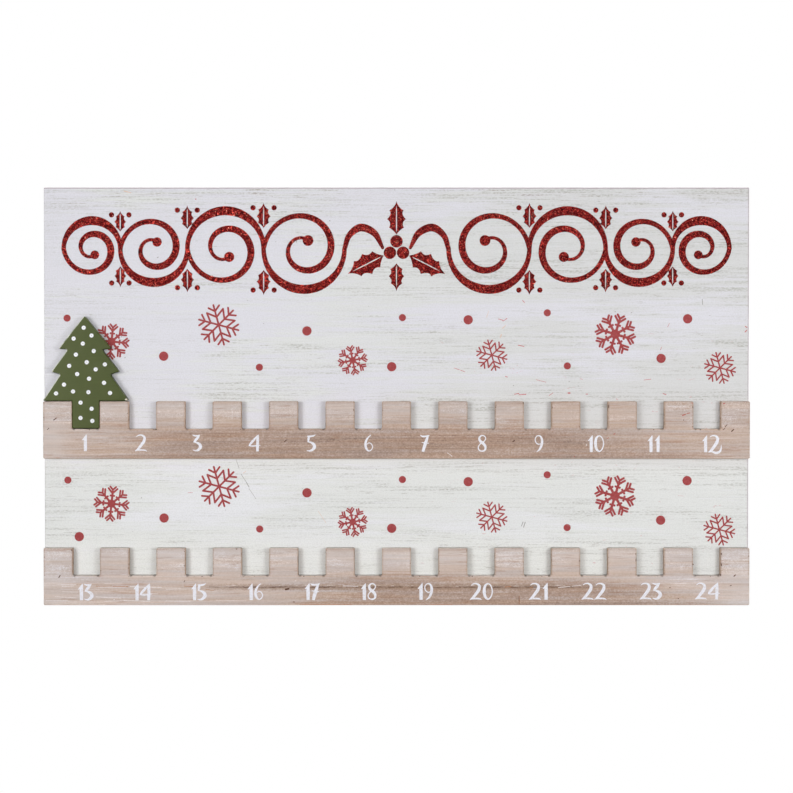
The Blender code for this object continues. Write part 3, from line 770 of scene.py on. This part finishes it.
def tree_material():
    """Satin olive paint, with bare wood at the knocks; painted light towards the left and on the
    left-facing rims, and painted shade on the downward faces.
    """
    material, tree, shader = new_material("olive_paint", gloss=0.1)
    cloud = noise(tree, (60, 60, 60), detail=3)
    brushed = noise(tree, (60, 700, 900), place=(2, 0, 0), detail=4, roughness=0.6)
    base = blend(between(cloud, 0.35, 0.65), (72, 80, 38), (67, 76, 33))
    base = blend(between(brushed, 0.45, 0.75, 0, 0.25), base, (84, 95, 54))
    # painted light: the olive turns paler towards the marker's left side
    painted_light_left = between(axis(tree, "X"), TREE_HIGH.x, TREE_LOW.x, 0, 0.75, smooth=False)
    base = blend(painted_light_left, base, (84, 92, 52))
    teeth = RAIL_HIGH.z
    chips = [
        (TREE_HIGH.x - 1.2 * MM, teeth + 1.6 * MM),
        (TREE_LOW.x + 7.6 * MM, teeth + 25.3 * MM),
        (TREE_LOW.x + 13.9 * MM, teeth + 45.4 * MM),
    ]
    rag = noise(tree, (900, 900, 900), detail=3)
    for x, z in chips:
        reach = vector_calc("DISTANCE", "Value", object_place(tree), (x, TREE_FACE, z)) + rag * (1.4 * MM)
        base = blend(between(reach, 1.9 * MM, 1.5 * MM), base, (214, 206, 190))
    rim = between(axis(tree, "Y"), TREE_FACE + 0.05 * MM, TREE_FACE + 0.5 * MM)
    worn = noise(tree, (240, 240, 240), place=(4, 4, 4), detail=3)
    base = blend(rim * between(worn, 0.6, 0.74, 0, 0.5), base, (150, 142, 110))
    # painted highlight: a pale line on the left-facing rims above the teeth, broken into patches
    highlight_breakup = noise(tree, (120, 120, 120), place=(7, 1, 3), detail=3)
    left = between(slope(tree, "X"), -0.06, -0.24, 0, 0.95)
    left *= between(highlight_breakup, 0.34, 0.56, 0.35, 1.0)
    left *= between(axis(tree, "Z"), teeth, teeth + 2 * MM)
    base = blend(left, base, (226, 226, 212))
    # painted shade: faces that look downward are darker olive
    base = blend(between(slope(tree, "Z"), -0.15, -0.4, 0, 0.7), base, (34, 40, 20))
    feed(shader, "Base Color", base)
    feed(shader, "Roughness", between(brushed, 0.3, 0.7, 0.34, 0.46))
    bump(shader, brushed, 0.03 * MM, 0.4)
    return material


def ink_material(name, colour, thin, roughness, grain=600):
    """Printed ink or paint, thin in places."""
    material, tree, shader = new_material(name, roughness, gloss=0.15)
    fine = noise(tree, (grain, grain, grain), detail=3, roughness=0.6)
    feed(shader, "Base Color", blend(between(fine, 0.4, 0.75), colour, thin))
    bump(shader, fine, 0.02 * MM, 0.6)
    return material


def glitter_material():
    """Red glitter: small flat flakes, each with its own tilt and depth of red, and a few painted pale as
    glints.
    """
    material, tree, shader = new_material("red_glitter_flakes", 0.30, 0.50, gloss=0.1)
    cells = {"Vector": object_place(tree), "Scale": FLAKES_PER_METRE, "Randomness": 1.0}
    flakes = node(tree, "TexVoronoi", "Color", cells, voronoi_dimensions="3D")
    tone = node(tree, "SeparateColor", "Red", {"Color": flakes})
    painted_glint = node(tree, "SeparateColor", "Green", {"Color": flakes})
    base = blend(between(tone, 0.0, 0.75), (48, 4, 10), (124, 24, 25))
    base = blend(between(tone, 0.72, 0.92), base, (218, 76, 64))
    # painted glints: a few flakes coloured pale gold-pink
    base = blend(between(painted_glint, 0.95, 1.0), base, (236, 148, 126))
    feed(shader, "Base Color", base)
    tilt = vector_calc("SUBTRACT", "Vector", flakes, (0.5, 0.5, 0.5))
    tilt = node(tree, "VectorMath", "Vector", {0: tilt, 3: FLAKE_TILT}, operation="SCALE")
    leaned = vector_calc("ADD", "Vector", node(tree, "NewGeometry", "Normal", {}), tilt)
    feed(shader, "Normal", vector_calc("NORMALIZE", "Vector", leaned, (0, 0, 0)))
    return material


def metal_material(name, colour, tarnish, roughness):
    """Plated steel with rolling marks and a little tarnish."""
    material, tree, shader = new_material(name, roughness, 1.0)
    marks = noise(tree, (300, 300, 2400), detail=3)
    cloud = noise(tree, (300, 300, 300), detail=4, roughness=0.6)
    feed(shader, "Base Color", blend(between(cloud, 0.45, 0.72), colour, tarnish))
    feed(shader, "Roughness", between(marks, 0.3, 0.7, roughness - 0.08, roughness + 0.12))
    bump(shader, marks, 0.02 * MM, 0.5)
    return material


def rubber_material():
    material, tree, shader = new_material("rubber_dots", 0.6)
    cloud = noise(tree, (500, 500, 500), detail=4)
    feed(shader, "Base Color", blend(between(cloud, 0.4, 0.7), (70, 70, 72), (96, 96, 98)))
    bump(shader, cloud, 0.03 * MM, 0.6)
    return material


def dress(node_name, material):
    """Gives a CAD node a material of its own."""
    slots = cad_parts[node_name].data.materials
    slots.clear()
    slots.append(material)


# Snowflakes of radius 1: widths of their lines
EIGHT_ARM_LINE = 0.106
EIGHT_ARM_STEM = 0.125
EIGHT_ARM_BAR = 0.085
SIX_ARM_LINE = 0.093


def eight_arm_flake():
    shape = [disc(0, 0, 0.23, 24)]
    for arm in range(8):
        strokes = [capsule((0, 0), (0.62, 0), EIGHT_ARM_STEM)]
        strokes.append(capsule((0.5, 0), (0.80, 0), EIGHT_ARM_LINE))
        strokes += [disc(0.45, 0.10, 0.058, 12), disc(0.45, -0.10, 0.058, 12)]
        strokes.append(capsule((0.45, -0.10), (0.45, 0.10), EIGHT_ARM_BAR))
        for side in (-1, 1):
            strokes.append(capsule((0.585, 0), (0.85, side * 0.25), EIGHT_ARM_LINE))
            strokes.append(capsule((0.78, 0), (0.95, side * 0.16), EIGHT_ARM_LINE))
        shape += placed(strokes, 0, 0, turn=math.radians(45 * arm))
    return shape


def six_arm_flake():
    shape = [disc(0, 0, 0.09, 16)]
    half = math.radians(30)
    for arm in range(6):
        strokes = [capsule((0, 0), (1.0, 0), SIX_ARM_LINE)]
        for side in (-1, 1):
            strokes.append(capsule((0.69, 0), (0.92, side * 0.27), SIX_ARM_LINE))
            outer = (0.815 * math.cos(half), side * 0.815 * math.sin(half))
            strokes.append(capsule((0.40, 0), outer, SIX_ARM_LINE))
        shape += placed(strokes, 0, 0, turn=math.radians(60 * arm))
    return shape


def photo_shape(shape, x, y, radius, depth, turn=0.0):
    """A unit shape placed at a pixel of the photograph, with its radius in pixels."""
    centre = photo_point(x, y, depth)
    return placed(shape, centre.x, centre.z, radius * photo_scale(depth), turn)


def build_wear():
    """Scratches, flecks and knots, each kind one thin piece."""
    scratch = ink_material("scratch", (158, 155, 152), (180, 178, 175), 0.7)
    red = ink_material("red_fleck", (186, 96, 98), (206, 140, 140), 0.7)
    tan = ink_material("tan_fleck", (218, 186, 162), (220, 202, 188), 0.7)
    knot = ink_material("knot", (84, 56, 44), (112, 78, 60), 0.7)
    red_on_wood = ink_material("red_fleck_on_wood", (172, 74, 66), (180, 110, 96), 0.7)
    ochre = ink_material("ochre_line", (168, 118, 84), (182, 142, 116), 0.7)
    lime = ink_material("lime_left", (226, 220, 220), (208, 196, 190), 0.8)
    for name, strokes, depth, material, slot in (
        ("face_scratches", PANEL_SCRATCHES, PANEL_FACE, scratch, "whitewashed_panel"),
        ("face_red_flecks", PANEL_RED_FLECKS, PANEL_FACE, red, "red_print"),
        ("face_tan_flecks", PANEL_TAN_FLECKS, PANEL_FACE, tan, "whitewashed_panel"),
        ("rail_knots", RAIL_KNOTS, RAIL_FACE, knot, "limed_wood"),
        ("rail_red_flecks", RAIL_RED_FLECKS, RAIL_FACE, red_on_wood, "red_print"),
        ("rail_tan_lines", RAIL_TAN_LINES, RAIL_FACE, ochre, "limed_wood"),
        ("rail_lime_marks", RAIL_LIME_MARKS, RAIL_FACE, lime, "white_print"),
    ):
        shape = []
        for x0, y0, x1, y1, width in strokes:
            start = photo_point(x0, y0, depth)
            end = photo_point(x1, y1, depth)
            shape.append(capsule((start.x, start.z), (end.x, end.z), width * photo_scale(depth), 3))
        relief(name, shape, depth, FLECK, material, slot, "board")


def build_prints():
    red = ink_material("red_ink", (154, 62, 64), (166, 78, 79), 0.6)
    round_dot = [disc(0, 0, 1, 32)]
    dots = []
    for places, radius in ((SMALL_DOTS, SMALL_DOT), (LARGE_DOTS, LARGE_DOT)):
        for x, y in places:
            dots += photo_shape(round_dot, x, y, radius, PANEL_FACE)
    relief("printed_dots", dots, PANEL_FACE, INK, red, "red_print", "board")
    for label, shape, places in (
        ("eight_arm", eight_arm_flake(), EIGHT_ARM_FLAKES),
        ("six_arm", six_arm_flake(), SIX_ARM_FLAKES),
    ):
        for number, (x, y, radius, turn) in enumerate(places, start=1):
            flake = photo_shape(shape, x, y, radius, PANEL_FACE, math.radians(turn))
            name = "printed_snowflake_{}_{}".format(label, number)
            relief(name, flake, PANEL_FACE, INK, red, "red_print", "board")


# Numerals, drawn as pen strokes of x, height and width, in hundredths of the numeral's height. Each
# digit has its advance and its smooth strokes. Z is a 2 whose foot ends in a flick.
DIGITS = {
    "0": (64, [[(31, 96, 8), (14, 82, 15), (9, 50, 19), (16, 17, 16), (33, 4, 9), (50, 20, 8),
        (57, 52, 7.5), (48, 84, 7.5)]]),
    "1": (37, [[(26, 0, 19), (26, 35, 21), (26, 68, 20), (30, 86, 12), (33, 97, 4)], [(8, 66, 4),
        (15, 72, 9), (24, 83, 10), (33, 98, 4)]]),
    "2": (72, [[(10, 87, 4), (23, 95, 7), (42, 95, 10), (57, 83, 16), (54, 60, 19), (37, 35, 18),
        (18, 12, 14), (3, 2, 5)], [(4, 3, 5), (22, 7, 9), (45, 7, 10), (62, 5, 8), (71, 0, 3)]]),
    "Z": (80, [[(10, 90, 4), (23, 98, 8), (42, 97, 12), (55, 83, 18), (51, 60, 21), (35, 34, 20),
        (16, 10, 16), (3, 0, 6)], [(4, 3, 6), (24, 3, 11), (46, -4, 16), (66, 2, 15), (76, 20, 10),
        (77, 42, 3)]]),
    "3": (58, [[(0, 97, 4), (15, 92, 10), (30, 93, 9), (43, 97, 4)], [(40, 94, 8), (28, 79, 17),
        (15, 64, 16), (6, 55, 6)], [(6, 56, 5), (26, 51, 13), (42, 40, 19), (46, 25, 21), (35, 10, 17),
        (20, 4, 11), (1, 8, 4)]]),
    "4": (70, [[(53, 0, 17), (54, 40, 19), (55, 80, 17), (58, 97, 6)], [(57, 96, 6), (40, 78, 12),
        (20, 55, 16), (8, 41, 12), (3, 34, 5)], [(3, 34, 5), (20, 32, 9), (48, 34, 8), (70, 37, 4)]]),
    "5": (56, [[(5, 91, 8), (22, 90, 12), (38, 93, 10), (50, 99, 3)], [(13, 91, 10), (10, 76, 16),
        (7, 58, 7)], [(4, 58, 4), (24, 54, 12), (41, 42, 19), (45, 26, 21), (34, 11, 17), (18, 4, 11),
        (0, 6, 4)]]),
    "6": (57, [[(42, 98, 4), (28, 87, 9), (14, 64, 14), (10, 38, 16), (17, 15, 14), (31, 4, 8),
        (46, 13, 6.5), (52, 31, 6.5), (43, 47, 6.5), (30, 52, 6), (19, 44, 4)]]),
    "7": (54, [[(0, 97, 5), (13, 91, 11), (33, 92, 11), (52, 97, 5)], [(44, 94, 12), (33, 62, 20),
        (22, 28, 21), (14, 0, 17)], [(8, 55, 4), (26, 52, 7), (48, 50, 4)]]),
    "8": (60, [[(50, 81, 6.5), (40, 95, 7), (22, 95, 9), (12, 80, 14), (19, 63, 17), (36, 49, 18),
        (48, 32, 16), (46, 12, 12), (29, 4, 9), (10, 12, 7.5), (7, 31, 7), (22, 50, 7), (41, 63, 6.5)]]),
    "9": (58, [[(42, 50, 5), (26, 45, 6), (10, 58, 6.5), (7, 80, 6.5), (20, 96, 6.5), (38, 92, 10),
        (47, 70, 16), (44, 40, 16), (32, 15, 12), (15, 0, 4)]]),
}
FLICKED_TWO = "Z"
CLOSED_DIGITS = "08"
BLUNT_STROKE = 13
UPPER_WEIGHT = 0.89
LOWER_WEIGHT = 0.98
DIGIT_GAP = 0.05


def numeral_shape(text, weight):
    """The pen strokes of a number, centred, for a height of 1."""
    shape = []
    reach = 0.0
    for digit in text:
        advance, strokes = DIGITS[digit]
        closed = digit in CLOSED_DIGITS
        for points in strokes:
            thinned = [(x / 100, z / 100, width / 100 * weight) for x, z, width in points]
            curve = smooth_stroke(thinned, closed=closed)
            ends = [not closed and point[2] < BLUNT_STROKE for point in (points[0], points[-1])]
            shape += placed(ribbon(curve, *ends), reach, 0)
        reach += advance / 100 + DIGIT_GAP
    return placed(shape, -(reach - DIGIT_GAP) / 2, -0.5)


def build_numerals():
    white = ink_material("white_paint", (229, 229, 237), (214, 209, 212), 0.5, 700)
    for places, (y_first, y_last), first, weight in (
        (UPPER_NUMERALS_X, UPPER_NUMERALS_Y, 1, UPPER_WEIGHT),
        (LOWER_NUMERALS_X, LOWER_NUMERALS_Y, 13, LOWER_WEIGHT),
    ):
        for number, x in enumerate(places, start=first):
            y = y_first + (y_last - y_first) * (x - places[0]) / (places[-1] - places[0])
            text = "1" + FLICKED_TWO if number == 12 else str(number)
            shape = photo_shape(numeral_shape(text, weight), x, y, NUMERAL_HEIGHT, RAIL_FACE)
            relief("numeral_{}".format(number), shape, RAIL_FACE, PAINT, white, "white_print", "board")


def build_tree_dots():
    white = ink_material("white_enamel", (236, 236, 240), (222, 222, 226), 0.35)
    # grey discs in the dots' middles: painted shade of each dot's centre
    grey = ink_material("grey_centre_shade", (176, 178, 172), (160, 162, 156), 0.4)
    dot = {"slot": "white_print", "body": "marker", "rim_width": DOT_RIM_WIDTH, "rim_rise": DOT_RIM}
    centre_shade = {"slot": "white_print", "body": "marker"}
    for number, (x, y) in enumerate(TREE_DOTS, start=1):
        shape = photo_shape([disc(0, 0, 1, 20)], x, y, TREE_DOT_RADIUS, TREE_FACE)
        relief("tree_dot_{}".format(number), shape, TREE_FACE, DOT_RISE, white, **dot)
        shape = photo_shape([disc(0, 0, 1, 12)], x, y, TREE_DOT_SHADE_RADIUS, TREE_FACE)
        relief("tree_dot_pin_{}".format(number), shape, TREE_FACE, DOT_RISE + CENTRE_SHADE_RISE, grey, **centre_shade)


# Glitter scroll with holly, in millimetres from its own middle
SCROLL_HEIGHT = -23.0
SCROLL_START = 45.0
SCROLL_RADII = [35.0, 33.0, 29.0, 24.5]
SCROLL_TURNS = 1.32
SCROLL_SHRINK = 0.77
LEAD = [(12.0, 1.0, 2.7), (19.0, 13.5, 5.7), (31.0, 18.5, 6.8), (41.0, 11.5, 5.1), (45.0, 0.0, 4.0)]
LINE_WIDTH = 4.0
ARCH_SWELL = 3.9
SPIRAL_SWELL = 2.7
SPIRAL_THINNING = 1.2
SPIRAL_EYES = [4.7, 4.4, 4.1, 3.8]
# Sprigs between the turns: length and height over the middle line, as shares of the turn's radius
SPRIG_LENGTH = 0.62
SPRIG_HEIGHT = 0.52
# Holly in the middle: each leaf's direction in degrees and its length
MIDDLE_LEAVES = [(90, 29), (-27, 35), (-153, 35), (-90, 24)]
LEAF_RING = 12.4
LEAF_WIDTH = 0.56
LEAF_SLIT = 0.95
# Half of a holly leaf's edge, for a length and half width of 1: each curve's control point and tip
LEAF_EDGE = [
    ((0.13, 0.30), (0.21, 0.80)),
    ((0.35, 0.46), (0.46, 1.00)),
    ((0.62, 0.42), (0.72, 0.76)),
    ((0.82, 0.14), (1.00, 0.00)),
]
BERRY = 5.4
BERRY_RING = 6.6
SIDE_BERRY = 2.3


def scroll_stroke(start, radius, side):
    """One turn of the scroll: half a circle over or under the middle line, then a spiral into its eye."""
    centre = start + radius
    curve = []
    steps = 30
    for step in range(steps + 1):
        angle = math.pi * (1 - step / steps)
        width = LINE_WIDTH + ARCH_SWELL * math.sin(angle) ** 2
        curve.append(Vector((centre + radius * math.cos(angle), side * radius * math.sin(angle), width)))
    steps = 64
    for step in range(1, steps + 1):
        share = step / steps
        angle = -2 * math.pi * SCROLL_TURNS * share
        turn_radius = radius * (1 - SCROLL_SHRINK * share ** 0.85)
        swell = SPIRAL_SWELL * math.sin(math.pi * min(share * 1.15, 1)) ** 2
        width = LINE_WIDTH - SPIRAL_THINNING * share + swell
        x = centre + turn_radius * math.cos(angle)
        curve.append(Vector((x, side * turn_radius * math.sin(angle), width)))
    return curve


def holly_leaf(length, width):
    """A holly leaf from the origin along +X, in two halves with a slit for the midrib between them."""
    edge = [Vector((0, 0))]
    for control, tip in LEAF_EDGE:
        first = edge[-1]
        middle = Vector((control[0] * length, control[1] * width / 2))
        last = Vector((tip[0] * length, tip[1] * width / 2))
        for step in range(1, 7):
            share = step / 6
            edge.append(first * (1 - share) ** 2 + middle * 2 * share * (1 - share) + last * share ** 2)
    slit = LEAF_SLIT / 2
    for share, open_share in ((0.88, 0), (0.74, 0.8), (0.50, 1), (0.24, 1), (0.12, 0.6), (0.07, 0)):
        edge.append(Vector((share * length, open_share * slit)))
    return [edge, [Vector((point.x, -point.y)) for point in edge]]


def sprig(x, z, way, size):
    """A leaf that points up or down, with a berry on each side."""
    shape = placed(holly_leaf(size, LEAF_WIDTH * size), x, z, turn=way * math.pi / 2)
    for side in (-1, 1):
        shape.append(disc(x + side * 0.42 * size, z + way * 0.80 * size, SIDE_BERRY, 20))
    return shape


def scroll_shape():
    shape = []
    for mirror in (False, True):
        half = ribbon(smooth_stroke(LEAD))
        start = SCROLL_START
        side = -1
        for radius, eye in zip(SCROLL_RADII, SPIRAL_EYES):
            curve = scroll_stroke(start, radius, side)
            half += ribbon(curve)
            half.append(disc(*curve[-1].xy, eye, 26))
            start += 2 * radius
            if radius != SCROLL_RADII[-1]:
                for way in (-1, 1):
                    half += sprig(start, way * SPRIG_HEIGHT * radius, way, SPRIG_LENGTH * radius)
            side = -side
        shape += placed(half, 0, 0, mirror=mirror)
    for angle, length in MIDDLE_LEAVES:
        turn = math.radians(angle)
        leaf = holly_leaf(length, LEAF_WIDTH * length)
        shape += placed(leaf, LEAF_RING * math.cos(turn), LEAF_RING * math.sin(turn), turn=turn)
    for angle in (90, 210, 330):
        turn = math.radians(angle)
        shape.append(disc(BERRY_RING * math.cos(turn), BERRY_RING * math.sin(turn), BERRY, 30))
    return shape


def build_glitter():
    glitter = glitter_material()
    shape = placed(scroll_shape(), 0, SCROLL_HEIGHT * MM, MM)
    relief(
        "glitter_scroll", shape, PANEL_FACE, GLITTER, glitter, "red_glitter", "board",
        rim_width=GLITTER_RIM_WIDTH, rim_rise=GLITTER_RIM,
    )


# Cross recess in a screw's head
RECESS_LENGTH = 3.0 * MM
RECESS_WIDTH = 0.75 * MM
RECESS_DEPTH = 1.1 * MM
RECESS_OVERSHOOT = 0.3 * MM
RECESS_TAPER = 0.45


def recess_cutter(centre):
    """A cross that narrows away from a screw head's face."""
    bm = bmesh.new()
    for along, across in ((RECESS_LENGTH, RECESS_WIDTH), (RECESS_WIDTH, RECESS_LENGTH)):
        rings = []
        for depth, share in ((RECESS_OVERSHOOT, 1.0), (0.0, 1.0), (-RECESS_DEPTH, RECESS_TAPER)):
            ring = []
            for side_x, side_z in ((-1, -1), (1, -1), (1, 1), (-1, 1)):
                x = side_x * share * along / 2
                z = side_z * share * across / 2
                ring.append(bm.verts.new((centre.x + x, centre.y + depth, centre.z + z)))
            rings.append(ring)
        for first, second in zip(rings, rings[1:]):
            for index in range(4):
                following = (index + 1) % 4
                bm.faces.new((first[index], first[following], second[following], second[index]))
        bm.faces.new(rings[0])
        bm.faces.new(rings[-1])
    bmesh.ops.recalc_face_normals(bm, faces=bm.faces)
    return add_object("recess", mesh_of(bm, "recess"))


def build_screw_heads(material):
    """Each screw again, with a cross recess cut in its head."""
    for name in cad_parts:
        if "screw" not in name:
            continue
        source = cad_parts[name]
        low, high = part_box(name)
        cutter = recess_cutter(Vector(((low.x + high.x) / 2, high.y, (low.z + high.z) / 2)))
        blank = add_object("blank", source.data.copy())
        cut = blank.modifiers.new("recess", "BOOLEAN")
        cut.operation = "DIFFERENCE"
        cut.solver = "EXACT"
        cut.use_self = True
        cut.object = cutter
        bpy.context.view_layer.update()
        shaped = blank.evaluated_get(bpy.context.evaluated_depsgraph_get())
        mesh = bpy.data.meshes.new_from_object(shaped)
        bpy.data.objects.remove(blank)
        bpy.data.objects.remove(cutter)
        mesh.materials.clear()
        piece = add_piece(name + "_cut", mesh, material, "board")
        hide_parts(name)


# Floor and lights
FLOOR_RADIUS = 3.8
FLOOR_DROP = 0.90
AMBIENT = 0.12
# Name, place, target, width and height, watts, and spread in degrees
LIGHTS = [
    ("soft_box_left", (-0.85, -1.55, -0.06), (-0.45, 0, AIM_HEIGHT), (0.66, 0.26), 3.5, 93),
    ("soft_box_right", (0.85, -1.55, -0.06), (0.45, 0, AIM_HEIGHT), (0.66, 0.26), 3.75, 93),
    ("front_fill", (0, -2.6, 0.10), (0, 0, AIM_HEIGHT), (0.9, 0.5), 12.8, 180),
    ("top_strip", (0, -0.035, 1.25), (0, -0.035, 0), (0.9, 0.08), 9, 180),
    ("back_fill", (0.5, 2.4, 0.9), (0, 0, AIM_HEIGHT), (1.6, 1.2), 52, 180),
]


def build_camera():
    data = bpy.data.cameras.new("camera")
    data.lens = LENS_MM
    data.sensor_width = SENSOR_MM
    item = add_object("camera", data)
    item.location = camera_place()
    item.rotation_euler = (math.radians(90) - CAMERA_PITCH, 0, 0)
    bpy.context.scene.camera = item


def build_lights():
    for name, place, target, size, power, spread in LIGHTS:
        data = bpy.data.lights.new(name, "AREA")
        data.shape = "RECTANGLE"
        data.size, data.size_y = size
        data.energy = power
        data.spread = math.radians(spread)
        item = add_object(name, data)
        item.location = place
        item.rotation_euler = (Vector(target) - Vector(place)).to_track_quat("-Z", "Y").to_euler()
        item.visible_camera = False


def build_world():
    """A white world for the camera, which lights the board only faintly."""
    world = bpy.data.worlds.new("studio")
    bpy.context.scene.world = world
    world.use_nodes = True
    tree = world.node_tree
    tree.nodes.clear()
    seen = node(tree, "LightPath", "Is Camera Ray", {})
    white = {"Color": (1, 1, 1, 1), "Strength": 1.0}
    shown = node(tree, "Background", 0, white)
    ambient = node(tree, "Background", 0, {**white, "Strength": AMBIENT})
    output = tree.nodes.new("ShaderNodeOutputWorld")
    feed(output, "Surface", node(tree, "MixShader", 0, {0: seen, 1: ambient, 2: shown}))
    bpy.context.scene.view_settings.view_transform = "Standard"


def build_floor():
    """A round pale floor that fades to white at its rim."""
    material, tree, shader = new_material("pale_floor", 0.8)
    tint = blend(noise(tree, (3, 3, 3)), (238, 238, 238), (234, 234, 234))
    feed(shader, "Base Color", tint)
    from_middle = vector_calc("LENGTH", "Value", object_place(tree), (0, 0, 0))
    fade = between(from_middle, 0.35 * FLOOR_RADIUS, 0.95 * FLOOR_RADIUS)
    glow = {"Color": blend(fade, tint, (255, 255, 255)), "Strength": 1.0}
    even = node(tree, "Emission", "Emission", glow)
    seen = node(tree, "LightPath", "Is Camera Ray", {})
    mixed = node(tree, "MixShader", 0, {0: seen, 1: Field(shader.outputs["BSDF"]), 2: even})
    feed(tree.nodes["Material Output"], "Surface", mixed)
    bm = bmesh.new()
    bmesh.ops.create_circle(bm, cap_ends=True, segments=96, radius=FLOOR_RADIUS)
    mesh = mesh_of(bm, "floor")
    mesh.materials.append(material)
    floor = add_object("floor", mesh)
    floor.location = (0, 0, cad_low.z - FLOOR_DROP)


def dress_board():
    dress("face_panel", panel_material())
    upper = rail_material(
        "limed_wood_upper", RAIL_LOW.z, 2.0, 0.43, heart=(0.21, 20 * MM, 33 * MM),
        heart_reach=(0.016, 0.18, 0.30), crack=(9 * MM, 0.5 * MM, 0.3, -0.02, 0.14), film=(0.52, 0.12),
        # upward faces darker: painted shade of the upper rail's tops and notch floors
        ledge_light_and_shade=(168, 154, 144),
    )
    lower = rail_material(
        "limed_wood_lower", LOWER_RAIL_LOW.z, 9.0, 0.30, heart=(0.30, 16 * MM, 30 * MM),
        heart_reach=(0.094, 0.102, 0.222), crack=(15.6 * MM, 0.9 * MM, 1.0, 0.0, 0.21), film=(0.42, 0.42),
        # upward faces pale: painted light of the lower rail's tops and notch floors
        ledge_light_and_shade=(208, 202, 198),
    )
    dress("upper_rail", upper)
    dress("lower_rail", lower)
    dress("tree_marker", tree_material())
    zinc = metal_material("zinc_plate", (196, 194, 188), (160, 158, 152), 0.50)
    nail = metal_material("bright_steel", (190, 188, 184), (150, 148, 144), 0.42)
    yellow = metal_material("yellow_zinc", (224, 204, 154), (190, 168, 118), 0.46)
    rubber = rubber_material()
    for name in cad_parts:
        if "nail" in name:
            dress(name, nail)
        elif name.startswith("hanger"):
            dress(name, zinc)
        elif name.startswith("bumper"):
            dress(name, rubber)
    build_screw_heads(yellow)


build_camera()
build_lights()
build_world()
build_floor()
dress_board()
build_wear()
build_prints()
build_numerals()
build_tree_dots()
build_glitter()

bpy.context.view_layer.update()
